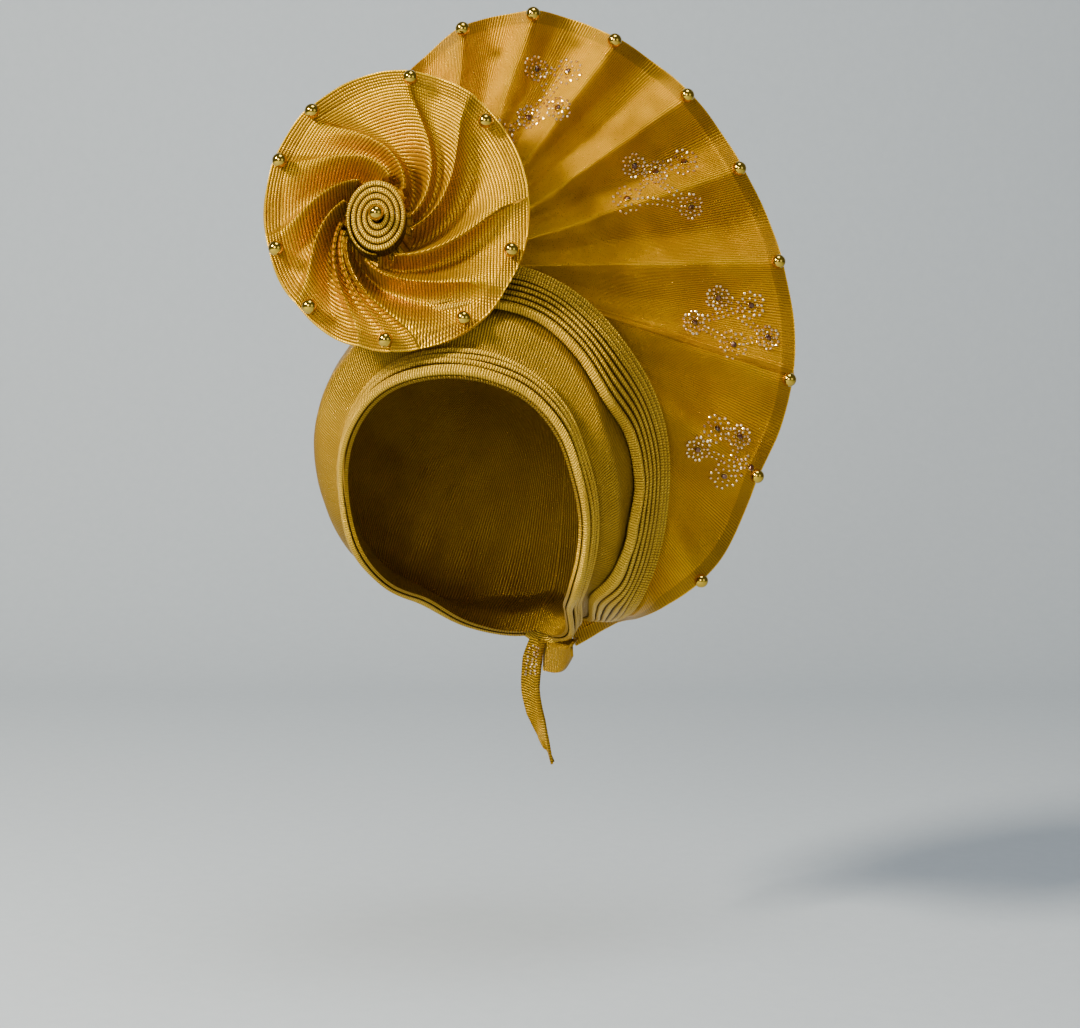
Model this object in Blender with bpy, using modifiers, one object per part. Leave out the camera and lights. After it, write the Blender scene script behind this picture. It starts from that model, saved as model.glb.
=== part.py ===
"""Tied gele head tie: a hollow ribbed-cloth head wrap with a pleated fan, a swirled rosette, beads and stones.

Metres, +Z up, -Y the wearer's front, +X the wearer's left. The origin is the centre of the head opening at
brow level. The fan and the rosette face a display side that is turned a little towards the wearer's left.
"""

import math

import bmesh
import bpy
import numpy as np
from mathutils import Matrix, Vector
from mathutils.bvhtree import BVHTree

# Head that the wrap is tied for
HEAD_HALF_WIDTH = 0.078
HEAD_HALF_DEPTH = 0.097
HEAD_CROWN_RISE = 0.098
HEAD_JAW_DROP = 0.112
HEAD_NAPE_DROP = 0.138
HEAD_EASE = 0.001

# Cloth and the room between pieces
WRAP_CLOTH = 0.002
FAN_CLOTH = 0.0016
ROSETTE_CLOTH = 0.0014
STRAP_CLOTH = 0.0016
FIT_GAP = 0.0006
SEAT_GAP = 0.0010
WELD_DISTANCE = 0.000001

# Crown wrap
WRAP_PUFF = 0.0175
PUFF_RUN = 0.018
NECK_TUCK = 0.010
TUCK_RUN = 0.050
TURN_STEPS = 48
POLE_TILT = math.radians(44.0)

# Brow pleats
BROW_PLEATS = 4
BROW_PLEAT_WIDTH = 0.0041
BROW_PLEAT_RISE = 0.0038

# Side pleats
SIDE_PLEATS = 8
SIDE_PLEAT_RISE_FRONT = 0.0045
SIDE_PLEAT_RISE_REAR = 0.0130

# Fan
DISPLAY_TURN = math.radians(25.0)
FAN_REACH = 0.242
FAN_HEART_ACROSS = -0.025
FAN_HEART_UP = 0.119
FAN_HEART_RADIUS = 0.030
FAN_HEART_OUT = 0.030
FAN_LEAN = 0.042
FAN_RELIEF = 0.0075
FAN_SCALLOP = 0.015
FAN_PAST_PLEATS = 0.6
FAN_ROOT_END = 159.0
FAN_ROOT_LIFT = (123.0, 14.0)

# Rosette
ROSETTE_HALF_WIDTH = 0.0745
ROSETTE_HALF_HEIGHT = 0.0830
ROSETTE_ACROSS = -0.0505
ROSETTE_UP = 0.150
ROSETTE_LEAN = math.radians(15.0)
ROSETTE_RELIEF = 0.0180
ROSETTE_SWIRL = math.radians(74.0)
ROSETTE_SWIRL_POWER = 2.2
ROSETTE_FOLD_LEAN = 0.65
ROSETTE_TUCK = 0.72
COIL_HALF_WIDTH = 0.0185
COIL_HALF_HEIGHT = 0.0240
COIL_ACROSS = -0.0105
COIL_UP = -0.0065
COIL_TURNS = 5.25
COIL_CORE = 0.0030
COIL_DEPTH = 0.0110
STALK_RADIUS = 0.0110
STALK_REACH = 0.022
STALK_TWIST = 1.2
STALK_FOOT = (-10.0, 52.0)

# Nape knot, flap and free end
KNOT_WIDTH = 0.028
KNOT_HEIGHT = 0.024
KNOT_THICKNESS = 0.009
FLAP_LENGTH = 0.018
FLAP_WIDTH = 0.017
FLAP_TAPER = 0.55
FLAP_ACROSS = 0.0135
STRAP_LENGTH = 0.076
STRAP_WIDTH = 0.0100

# Beads and stones
BEAD_RADIUS = 0.0042
FAN_BEAD_INSET = 0.0040
ROSETTE_BEAD_INSET = 0.0075
STONE_RADIUS = 0.0021
STONE_HEIGHT = 0.0014
STONE_TABLE = 0.55
STONE_FACETS = 8

# Line of the face opening, round the wrap's pole from the forehead towards the wearer's left.
# Columns: turn in degrees, angle from the pole in degrees.
BROW_LINE = (
    (-180, 103),
    (-165, 110),
    (-150, 120),
    (-132, 129),
    (-110, 134),
    (-90, 134),
    (-66, 126),
    (-48, 118),
    (-32, 111),
    (-17, 105),
    (0, 101),
    (22, 97.5),
    (37, 97.5),
    (52, 102),
    (68, 111),
    (86, 119.5),
    (103, 127),
    (117, 131),
    (132, 130),
    (150, 121),
    (165, 111),
    (180, 103),
)

# Fullness of the wrap. Columns: turn in degrees, share of the puff, share of the brow pleats' width,
# share of the tuck towards the neck.
WRAP_FULLNESS = (
    (-180, 0.60, 0.50, 0.0),
    (-150, 0.70, 0.60, 0.9),
    (-120, 0.90, 0.70, 0.3),
    (-90, 1.05, 0.75, 0.0),
    (-60, 1.15, 0.80, 0.0),
    (-30, 1.05, 1.00, 0.0),
    (0, 0.85, 1.00, 0.0),
    (45, 0.60, 1.00, 0.0),
    (90, 0.50, 1.00, 0.0),
    (120, 0.50, 0.85, 0.3),
    (150, 0.55, 0.65, 0.9),
    (180, 0.60, 0.50, 0.0),
)
POLE_FULLNESS = 0.70

# Bundle of side pleats, from the crown to the nape. Columns: turn in degrees, angle from the pole of the
# first and of the last pleat in degrees, rise share.
SIDE_BUNDLE = (
    (-8, 84, 74, 0.55),
    (5, 80.5, 65.5, 0.80),
    (17, 75, 56, 0.95),
    (31, 72, 53, 1.00),
    (45, 75, 54, 1.05),
    (60, 81, 57, 1.10),
    (80, 83, 62.5, 1.20),
    (98, 93, 70, 1.20),
    (112, 109, 80.5, 1.15),
    (122, 115, 91, 1.10),
    (132, 118.5, 101, 1.00),
    (145, 114, 102, 0.85),
    (156, 107, 97, 0.70),
    (164, 102, 94, 0.55),
)

# Ridges of the fan. Columns: angle round the fan's heart in degrees, reach share, lean share.
FAN_RIDGES = (
    (86.1, 0.594, 1.00),
    (71.1, 0.664, 1.00),
    (53.5, 0.700, 1.00),
    (35.7, 0.734, 1.00),
    (18.9, 0.766, 0.95),
    (1.3, 0.821, 0.85),
    (-17.8, 0.889, 0.70),
    (-33.6, 0.920, 0.60),
    (-50.7, 0.995, 0.45),
)
FAN_LEFT_EDGE = (104.0, 0.470, 1.00)
FAN_LOWER_EDGE = ((-60.3, 0.985, 0.28), (-71.5, 1.010, 0.10))

# Ridges of the rosette's swirl and beads on its rim: angles at the rim in degrees
ROSETTE_RIDGES = (-170.5, -133.8, -97.7, -83.4, -72.8, -30.0, 8.7, 55.0, 79.0, 122.9, 148.0)
ROSETTE_BEADS = (78.4, 44.5, -13.2, -49.3, -85.0, -125.1, -161.9, 149.5, 121.5)

# Rows of the rosette's cloth from the coil outwards: shares of the way to the rim
ROSETTE_ROWS = (0.0, 0.05, 0.14, 0.28, 0.50, 0.75, 1.0)

# Free end. Columns: drop share, sideways share of the length, width share.
STRAP_RUN = (
    (0.00, 0.000, 0.75),
    (0.18, -0.035, 1.00),
    (0.42, -0.050, 0.85),
    (0.66, -0.010, 1.00),
    (0.84, 0.050, 0.70),
    (1.00, 0.110, 0.10),
)

# Sprays of stones on the fan. Columns: angle round the heart in degrees, share of the rim's reach.
STONE_SPRAYS = (
    ((66.0, 0.80), (58.5, 0.83), (61.5, 0.62), (67.5, 0.52), (55.0, 0.68)),
    ((29.0, 0.71), (24.5, 0.86), (25.0, 0.76), (21.0, 0.62), (14.5, 0.80)),
    ((-5.8, 0.80), (-6.5, 0.90), (-12.0, 0.72), (-14.5, 0.83), (-11.8, 0.94)),
    ((-35.5, 0.82), (-30.4, 0.85), (-29.6, 0.92), (-36.5, 0.92), (-33.0, 0.97)),
)

POLE = Vector((0.0, math.sin(POLE_TILT), math.cos(POLE_TILT)))
BROW_AXIS = Vector((0.0, -math.cos(POLE_TILT), math.sin(POLE_TILT)))
LEFT_AXIS = Vector((1.0, 0.0, 0.0))
ACROSS = Vector((math.cos(DISPLAY_TURN), math.sin(DISPLAY_TURN), 0.0))
UP = Vector((0.0, 0.0, 1.0))
OUT = Vector((math.sin(DISPLAY_TURN), -math.cos(DISPLAY_TURN), 0.0))
BACK = Vector((0.0, 1.0, 0.0))
FORM_RADIUS = (HEAD_HALF_WIDTH + HEAD_HALF_DEPTH) / 2


def value_at(rows, column, at):
    """Value of a table's column on the smooth curve through its rows, whose first column rises."""
    places = np.array([row[0] for row in rows], float)
    values = np.array([row[column] for row in rows], float)
    slopes = np.gradient(values, places)
    at = min(max(at, places[0]), places[-1])
    k = min(int(np.searchsorted(places, at, side="right")) - 1, len(places) - 2)
    run = places[k + 1] - places[k]
    t = (at - places[k]) / run
    start = (1 + 2 * t) * (1 - t) ** 2 * values[k] + t * (1 - t) ** 2 * run * slopes[k]
    end = t * t * (3 - 2 * t) * values[k + 1] + t * t * (t - 1) * run * slopes[k + 1]
    return start + end


def eased(t):
    """Smooth step from 0 to 1."""
    t = min(max(t, 0.0), 1.0)
    return t * t * (3 - 2 * t)


def display_point(across, up, out):
    """Point given as it is seen from the display side."""
    return ACROSS * across + UP * up + OUT * out


def form_reach(direction, cover):
    """Distance from the head's centre to the head form grown by cover, along a unit direction."""
    below = HEAD_JAW_DROP + (HEAD_NAPE_DROP - HEAD_JAW_DROP) * eased(direction.y / 0.55)
    rise = HEAD_CROWN_RISE if direction.z > 0 else below
    scaled = Vector((
        direction.x / (HEAD_HALF_WIDTH + cover),
        direction.y / (HEAD_HALF_DEPTH + cover),
        direction.z / (rise + cover),
    ))
    return 1 / scaled.length


def wrap_direction(turn, down):
    """Unit direction that lies down degrees from the wrap's pole, turn degrees from the forehead."""
    turn, down = math.radians(turn), math.radians(down)
    level = BROW_AXIS * math.cos(turn) + LEFT_AXIS * math.sin(turn)
    return POLE * math.cos(down) + level * math.sin(down)


def turn_and_down(direction):
    """Turn and angle from the pole of a unit direction, in degrees."""
    turn = math.degrees(math.atan2(direction.dot(LEFT_AXIS), direction.dot(BROW_AXIS)))
    return turn, math.degrees(math.acos(max(-1.0, min(1.0, direction.dot(POLE)))))


def brow_band(turn):
    """Width of the band that the brow pleats take up, in metres."""
    return BROW_PLEATS * BROW_PLEAT_WIDTH * value_at(WRAP_FULLNESS, 2, turn)


def wrap_cover(direction):
    """How far the wrap's outer side stands off the head form."""
    turn, down = turn_and_down(direction)
    in_from_edge = math.radians(value_at(BROW_LINE, 1, turn) - down) * FORM_RADIUS
    swell = eased((in_from_edge - brow_band(turn)) / PUFF_RUN)
    share = value_at(WRAP_FULLNESS, 1, turn)
    share += (POLE_FULLNESS - share) * eased(1 - down / 60)
    tuck = value_at(WRAP_FULLNESS, 3, turn) * (1 - eased(in_from_edge / TUCK_RUN))
    return HEAD_EASE + WRAP_CLOTH + WRAP_PUFF * share * swell - NECK_TUCK * tuck


def wrap_point(direction, lift=0.0):
    """Point lift above the wrap's outer side."""
    return direction * form_reach(direction, wrap_cover(direction) + lift)


def bundle_direction(turn, step):
    """Direction to the side pleats at a turn, step from the first pleat (0) to the last (1)."""
    first, last = value_at(SIDE_BUNDLE, 1, turn), value_at(SIDE_BUNDLE, 2, turn)
    return wrap_direction(turn, first + (last - first) * step)


def bundle_turn(along):
    """Turn of a place along the bundle, from the crown (0) to the nape (1)."""
    return SIDE_BUNDLE[0][0] + (SIDE_BUNDLE[-1][0] - SIDE_BUNDLE[0][0]) * along


def bundle_rise(turn, step):
    """Height of a side pleat over the wrap."""
    rise = SIDE_PLEAT_RISE_FRONT + (SIDE_PLEAT_RISE_REAR - SIDE_PLEAT_RISE_FRONT) * step
    return rise * value_at(SIDE_BUNDLE, 3, turn)


def make_material(name, colour, roughness, metallic=0.0, sheen=0.0):
    """Principled material with a plain colour."""
    material = bpy.data.materials.new(name)
    material.use_nodes = True
    shader = material.node_tree.nodes["Principled BSDF"]
    shader.inputs["Base Color"].default_value = (*colour, 1.0)
    shader.inputs["Roughness"].default_value = roughness
    shader.inputs["Metallic"].default_value = metallic
    shader.inputs["Sheen Weight"].default_value = sheen
    material.diffuse_color = (*colour, 1.0)
    return material


def add_object(name, built, material, smooth=True):
    """New object in the head tie's collection from a finished bmesh."""
    mesh = bpy.data.meshes.new(name)
    built.to_mesh(mesh)
    built.free()
    if smooth:
        mesh.shade_smooth()
        mesh.set_sharp_from_angle(angle=math.radians(50))
    mesh.materials.append(material)
    piece = bpy.data.objects.new(name, mesh)
    bpy.data.collections["gele_head_tie"].objects.link(piece)
    return piece


def placed_grid(columns, rows, place):
    """Grid of faces whose points are put where place(a, b) says, a and b from 0 to 1, seams welded."""
    built = bmesh.new()
    bmesh.ops.create_grid(built, x_segments=columns, y_segments=rows, size=0.5)
    for vertex in built.verts:
        vertex.co = place(vertex.co.x + 0.5, vertex.co.y + 0.5)
    bmesh.ops.remove_doubles(built, verts=built.verts, dist=WELD_DISTANCE)
    return built


def add_cloth(name, columns, rows, place, thickness, material, flipped=False):
    """Sheet of cloth with its face side where place puts it, thickened away from that side."""
    built = placed_grid(columns, rows, place)
    if flipped:
        bmesh.ops.reverse_faces(built, faces=built.faces)
    piece = add_object(name, built, material)
    wall = piece.modifiers.new("wall", "SOLIDIFY")
    wall.thickness = thickness
    wall.offset = -1.0
    return piece


def add_bar(name, stations, section, place, material):
    """Closed bar: place(along, corner) puts each corner of its section, and both ends are filled."""
    built = placed_grid(stations, section, lambda a, b: place(a, (b * section) % section))
    open_edges = [edge for edge in built.edges if edge.is_boundary]
    bmesh.ops.holes_fill(built, edges=open_edges, sides=0)
    bmesh.ops.recalc_face_normals(built, faces=built.faces)
    return add_object(name, built, material)


def add_crown_wrap(material):
    """Hollow wrap from the brow line up to the pole."""
    rows = 8

    def place(a, b):
        turn = -180 + 360 * a
        edge = value_at(BROW_LINE, 1, turn)
        band, run = (math.degrees(size / FORM_RADIUS) for size in (brow_band(turn), PUFF_RUN))
        steps = (0, band, band + 0.5 * run, band + run)
        row = int(round(b * rows))
        if row < len(steps):
            return wrap_point(wrap_direction(turn, edge - steps[row]))
        left = (rows - row) / (rows - len(steps) + 1)
        return wrap_point(wrap_direction(turn, (edge - steps[-1]) * left))

    return add_cloth("crown_wrap", TURN_STEPS, rows, place, WRAP_CLOTH, material)


def add_brow_pleats(material):
    """Narrow folds side by side along the brow line."""
    profile = ((0.05, 0.0), (0.95, 0.0), (0.95, 0.60), (0.60, 1.0), (0.05, 0.60))
    pleats = []
    for k in range(BROW_PLEATS):

        def place(a, corner, k=k):
            turn = (360 - 720 / TURN_STEPS) * (a - 0.5)
            over, high = profile[int(round(corner)) % len(profile)]
            band = brow_band(turn) / BROW_PLEATS
            down = value_at(BROW_LINE, 1, turn) - math.degrees((k + over) * band / FORM_RADIUS)
            rise = BROW_PLEAT_RISE * (1 - 0.12 * k)
            return wrap_point(wrap_direction(turn, down), SEAT_GAP + rise * high)

        pleats.append(add_bar(f"brow_pleat_{k + 1}", TURN_STEPS - 2, len(profile), place, material))
    return pleats


def add_side_pleats(material):
    """Standing pleats beside each other, each a little higher than the one before."""
    profile = ((0.08, 0.0), (0.92, 0.0), (0.92, 0.82), (0.50, 1.0), (0.08, 0.78))
    pleats = []
    for k in range(SIDE_PLEATS):

        def place(a, corner, k=k):
            over, high = profile[int(round(corner)) % len(profile)]
            turn = bundle_turn(a)
            rise = bundle_rise(turn, (k + 0.5) / SIDE_PLEATS)
            spot = bundle_direction(turn, (k + over) / SIDE_PLEATS)
            return wrap_point(spot, SEAT_GAP + rise * high)

        pleats.append(add_bar(f"side_pleat_{k + 1}", 24, len(profile), place, material))
    return pleats


def fan_rows():
    """All the fan's rim rows from its lower edge round to its left edge."""
    return sorted((*FAN_RIDGES, *FAN_LOWER_EDGE, FAN_LEFT_EDGE))


def fan_root_path():
    """Angles round the fan's heart, reaches and depths of its inner edge along the side pleats."""
    places = []
    for turn in np.linspace(SIDE_BUNDLE[0][0], FAN_ROOT_END, 60):
        over = eased((turn - FAN_ROOT_LIFT[0]) / FAN_ROOT_LIFT[1])
        lift = SEAT_GAP + (bundle_rise(turn, 1.0) + 2 * SEAT_GAP) * over
        point = wrap_point(bundle_direction(turn, 1 + FAN_PAST_PLEATS / SIDE_PLEATS), lift)
        across, up = point.dot(ACROSS) - FAN_HEART_ACROSS, point.z - FAN_HEART_UP
        if math.hypot(across, up) > FAN_HEART_RADIUS and across > 0:
            angle = math.degrees(math.atan2(up, across))
            places.append((angle, math.hypot(across, up), point.dot(OUT)))
    return np.array(sorted(places)).T


def fan_root(path, angle):
    """Reach and depth of the fan's inner edge at an angle round its heart."""
    angles, reaches, depths = path
    blend = eased((angle - angles[-1]) / 30)
    reach, out = float(np.interp(angle, angles, reaches)), float(np.interp(angle, angles, depths))
    return reach + (FAN_HEART_RADIUS - reach) * blend, out + (FAN_HEART_OUT - out) * blend


def fan_rim(angle):
    """Reach of the fan's rim, drawn in a little between two ridges."""
    drawn_in = FAN_SCALLOP * (1 - fan_relief(angle)) / 2
    return FAN_REACH * value_at(fan_rows(), 1, angle) * (1 - drawn_in)


def fan_relief(angle):
    """Height of the pleats, 1 on a ridge and -1 in the valley between two."""
    ridges = [row[0] for row in sorted(FAN_RIDGES)]
    pitch = (ridges[-1] - ridges[0]) / (len(ridges) - 1)
    steps = [ridges[0] - pitch, *ridges, ridges[-1] + pitch]
    phase = np.interp(angle, steps, range(len(steps)))
    return 1 - 2 * math.sin(math.pi * (phase % 1.0)) ** 0.9


def fan_point(path, angle, share):
    """Point on the fan's face, share from its inner edge (0) to its rim (1)."""
    root_reach, root_out = fan_root(path, angle)
    rim_reach = fan_rim(angle)
    rim_out = root_out - FAN_LEAN * value_at(fan_rows(), 2, angle)
    reach = root_reach + (rim_reach - root_reach) * share
    deep = FAN_RELIEF * min(1.0, 0.25 + 1.2 * share) * min(1.0, (rim_reach - root_reach) / FAN_HEART_RADIUS)
    out = root_out + (rim_out - root_out) * share + deep * share ** 0.4 * fan_relief(angle)
    turned = math.radians(angle)
    across = FAN_HEART_ACROSS + reach * math.cos(turned)
    return display_point(across, FAN_HEART_UP + reach * math.sin(turned), out)


def angles_between(folds, steps):
    """Angles from fold to fold with a number of steps between each two."""
    return [
        fold + (folds[k + 1] - fold) * j / steps
        for k, fold in enumerate(folds[:-1])
        for j in range(steps)
    ] + [folds[-1]]


def add_fan(material):
    """Accordion-pleated sheet round the fan's heart."""
    path = fan_root_path()
    angles = angles_between([row[0] for row in fan_rows()], 4)

    def place(a, b):
        return fan_point(path, angles[int(round(a * (len(angles) - 1)))], b)

    return add_cloth("fan", len(angles) - 1, 7, place, FAN_CLOTH, material, flipped=True)


def rosette_matrix():
    """Frame of the rosette before it is moved out: X across, Y up its face, Z out of its face."""
    up = UP * math.cos(ROSETTE_LEAN) - OUT * math.sin(ROSETTE_LEAN)
    face = OUT * math.cos(ROSETTE_LEAN) + UP * math.sin(ROSETTE_LEAN)
    turned = Matrix((ACROSS, up, face)).transposed().to_4x4()
    return Matrix.Translation(display_point(ROSETTE_ACROSS, ROSETTE_UP, 0.0)) @ turned


def rosette_relief(angle):
    """Height from 0 on a ridge to below -1 in a wide hollow, at a rim angle in degrees."""
    ridges = [*ROSETTE_RIDGES, ROSETTE_RIDGES[0] + 360]
    angle = (angle - ridges[0]) % 360 + ridges[0]
    k = min(int(np.searchsorted(ridges, angle, side="right")), len(ROSETTE_RIDGES)) - 1
    width = ridges[k + 1] - ridges[k]
    to_next = (ridges[k + 1] - angle) / width
    return -min(1.15, width / 38) * max(0.0, math.sin(math.pi * to_next ** ROSETTE_FOLD_LEAN)) ** 0.85


def rosette_point(rim_angle, share):
    """Point on the rosette's face in its own frame, share from the coil (0) to the rim (1) of a fold."""
    turned = math.radians(rim_angle) - ROSETTE_SWIRL * (1 - share) ** ROSETTE_SWIRL_POWER
    along = Vector((math.cos(turned), math.sin(turned)))
    squash = ROSETTE_HALF_HEIGHT / ROSETTE_HALF_WIDTH
    ray = Vector((along.x, along.y / squash))
    offset = -Vector((COIL_ACROSS, COIL_UP / squash))
    on = offset.dot(ray) / ray.length_squared
    spare = (ROSETTE_HALF_WIDTH ** 2 - offset.length_squared) / ray.length_squared
    rim = on + math.sqrt(on * on + spare)
    grow = 1 + 2 * FIT_GAP / COIL_HALF_WIDTH
    coil = grow / math.hypot(along.x / COIL_HALF_WIDTH, along.y / COIL_HALF_HEIGHT)
    reach = coil + (rim - coil) * share
    depth = ROSETTE_RELIEF * (0.16 + 0.84 * (1 - share) ** 1.1)
    height = depth * rosette_relief(rim_angle) + 0.3 * ROSETTE_RELIEF * (1 - share)
    return Vector((COIL_ACROSS + reach * along.x, COIL_UP + reach * along.y, height))


def add_rosette(material, carriers):
    """Swirled and pleated disc round the coil, moved out until it rests on the pieces behind it."""

    ridges = [*ROSETTE_RIDGES, ROSETTE_RIDGES[0] + 360]
    angles = angles_between(ridges, 4)
    tucked = coil_underside() - 2 * FIT_GAP

    def place(a, b):
        angle = angles[int(round(a * (len(angles) - 1)))]
        row = int(round(b * (len(ROSETTE_ROWS) + 1))) - 2
        point = rosette_point(angle, ROSETTE_ROWS[max(row, 0)])
        if row < 0:
            point.z = min(point.z, tucked)
        if row == -2:
            point.x = COIL_ACROSS + (point.x - COIL_ACROSS) * ROSETTE_TUCK
            point.y = COIL_UP + (point.y - COIL_UP) * ROSETTE_TUCK
        return point

    rows = len(ROSETTE_ROWS) + 1
    rosette = add_cloth("rosette", len(angles) - 1, rows, place, ROSETTE_CLOTH, material, flipped=True)
    rosette.matrix_world = rosette_matrix()
    rest(rosette, carriers, OUT, FIT_GAP)
    return rosette


def add_rosette_coil(frame, material):
    """Wound centre: one strip in a flat spiral, its rounded edge to the front."""
    profile = ((-0.38, 0.0), (0.38, 0.0), (0.38, 0.86), (0.0, 1.0), (-0.38, 0.86))
    pitch = (COIL_HALF_HEIGHT - COIL_CORE) / COIL_TURNS
    narrow = COIL_HALF_WIDTH / COIL_HALF_HEIGHT

    def place(a, corner):
        over, high = profile[int(round(corner)) % len(profile)]
        wound = 2 * math.pi * (COIL_TURNS - 0.5) * a
        taper = min(1.0, 12 * (1 - a) + 0.15)
        radius = COIL_CORE + pitch * (wound / (2 * math.pi) + over * taper)
        return Vector((
            COIL_ACROSS + narrow * radius * math.cos(wound),
            COIL_UP + radius * math.sin(wound),
            coil_underside() + COIL_DEPTH * high * (1.18 - 0.18 * a),
        ))

    coil = add_bar("rosette_coil", 68, len(profile), place, material)
    coil.matrix_world = frame
    return coil


def coil_underside():
    """Height of the coil's underside in the rosette's frame."""
    return 0.3 * ROSETTE_RELIEF - COIL_DEPTH


def add_rosette_stalk(frame, wrap, material):
    """Twisted cloth from behind the coil down to the crown."""
    start = frame @ Vector((COIL_ACROSS, COIL_UP, coil_underside() - FIT_GAP))
    inward = -(frame.to_3x3() @ Vector((0.0, 0.0, 1.0)))
    footing = wrap_direction(*STALK_FOOT)
    hit, normal = surface(wrap)[1].ray_cast(footing * FAN_REACH, -footing)[:2]
    foot = hit + normal * FIT_GAP
    rods = (start, start + inward * STALK_REACH, foot + normal * STALK_REACH, foot)
    sides = 10

    def place(a, corner):
        weights = ((1 - a) ** 3, 3 * a * (1 - a) ** 2, 3 * a * a * (1 - a), a ** 3)
        heads = ((1 - a) ** 2, 2 * a * (1 - a), a * a)
        spot = sum((rod * weight for rod, weight in zip(rods, weights)), Vector())
        heading = sum(((rods[k + 1] - rods[k]) * heads[k] for k in range(3)), Vector())
        side = heading.cross(ACROSS).normalized()
        other = heading.normalized().cross(side)
        turned = 2 * math.pi * corner / sides + STALK_TWIST * a
        waist = STALK_RADIUS * (1 - 0.25 * math.sin(math.pi * a))
        return spot + (side * math.cos(turned) + other * math.sin(turned)) * waist

    return add_bar("rosette_stalk", 7, sides, place, material)


def nape_point(across, down, lift):
    """Point near the nape: across from its middle, down from the wrap's edge, lift off the wrap."""
    turn = 180 - math.degrees(across / FORM_RADIUS)
    edge = value_at(BROW_LINE, 1, turn)
    above = min(0.0, down)
    spot = wrap_point(wrap_direction(turn, edge + math.degrees(above / FORM_RADIUS)), lift)
    return spot - UP * max(0.0, down)


def add_nape_knot(carriers, material):
    """Folded band that gathers the pleats at the nape."""
    sides = 10

    def place(a, corner):
        turned = 2 * math.pi * corner / sides
        full = 0.6 + 0.4 * math.sin(math.pi * a)
        down = -0.5 * KNOT_HEIGHT * (1 - full * math.sin(turned))
        lift = 0.5 * KNOT_THICKNESS * full * (1 + math.cos(turned))
        return nape_point(KNOT_WIDTH * (a - 0.5), down, BROW_PLEAT_RISE + lift)

    knot = add_bar("nape_knot", 8, sides, place, material)
    rest(knot, carriers, BACK, FIT_GAP)
    return knot


def add_nape_flap(knot, material):
    """Small folded flap below the knot on the wearer's left."""

    def place(a, b):
        width = FLAP_WIDTH * (1 - FLAP_TAPER * b)
        across = FLAP_ACROSS - 0.2 * FLAP_WIDTH * b + width * (a - 0.5)
        bow = 0.2 * KNOT_THICKNESS * math.sin(math.pi * a)
        return nape_point(across, FLAP_LENGTH * b, BROW_PLEAT_RISE + 0.6 * KNOT_THICKNESS + bow)

    flap = add_cloth("nape_flap", 6, 6, place, STRAP_CLOTH, material)
    rest(flap, [knot], -UP, FIT_GAP)


def add_tie_strap(knot, material):
    """Free end of the cloth that hangs behind the neck."""

    def place(a, b):
        width = STRAP_WIDTH * value_at(STRAP_RUN, 2, b)
        across = STRAP_LENGTH * value_at(STRAP_RUN, 1, b) + width * (a - 0.5)
        return nape_point(across, STRAP_LENGTH * b, BROW_PLEAT_RISE + 0.25 * KNOT_THICKNESS)

    strap = add_cloth("tie_strap", 4, 12, place, STRAP_CLOTH, material)
    rest(strap, [knot], -UP, FIT_GAP)


def surface(piece):
    """Points over a piece's finished surface where it stands, and a search tree of it."""
    bpy.context.view_layer.update()
    mesh = piece.evaluated_get(bpy.context.evaluated_depsgraph_get()).data
    corners = [piece.matrix_world @ vertex.co for vertex in mesh.vertices]
    middles = [(corners[edge.vertices[0]] + corners[edge.vertices[1]]) / 2 for edge in mesh.edges]
    mesh.calc_loop_triangles()
    centres = [piece.matrix_world @ triangle.center for triangle in mesh.loop_triangles]
    tree = BVHTree.FromPolygons(corners, [triangle.vertices for triangle in mesh.loop_triangles])
    return corners + middles + centres, tree


def rest(piece, carriers, outward, gap):
    """Move a piece along outward until it clears each of its carriers by gap."""
    points, tree = surface(piece)
    shifts = []
    for carrier_points, carrier_tree in map(surface, carriers):
        for point in points:
            hit = carrier_tree.ray_cast(point + outward * FAN_REACH, -outward)[0]
            if hit is not None:
                shifts.append(gap - (point - hit).dot(outward))
        for point in carrier_points:
            hit = tree.ray_cast(point - outward * FAN_REACH, outward)[0]
            if hit is not None:
                shifts.append(gap - (hit - point).dot(outward))
    piece.location += outward * max(shifts, default=0.0)


def add_bead(name, carrier, spot, outward, material):
    """Round bead resting on a piece."""
    built = bmesh.new()
    bmesh.ops.create_uvsphere(built, u_segments=10, v_segments=5, radius=BEAD_RADIUS)
    turned = Vector((0, 0, 1)).rotation_difference(outward).to_matrix().to_4x4()
    bmesh.ops.transform(built, matrix=turned, verts=built.verts)
    bead = add_object(name, built, material)
    bead.location = spot
    rest(bead, [carrier], outward, FIT_GAP)


def add_stone(name, carrier, spot, outward, material):
    """Cut stone with a table and eight side facets, set on a piece."""
    built = bmesh.new()
    bmesh.ops.create_cone(
        built,
        cap_ends=True,
        segments=STONE_FACETS,
        radius1=STONE_RADIUS,
        radius2=STONE_RADIUS * STONE_TABLE,
        depth=STONE_HEIGHT,
    )
    hit, normal = surface(carrier)[1].ray_cast(spot + outward * FAN_REACH, -outward)[:2]
    turned = Vector((0, 0, 1)).rotation_difference(normal).to_matrix().to_4x4()
    bmesh.ops.transform(built, matrix=turned, verts=built.verts)
    stone = add_object(name, built, material, smooth=False)
    stone.location = hit
    rest(stone, [carrier], outward, FIT_GAP)


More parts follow.
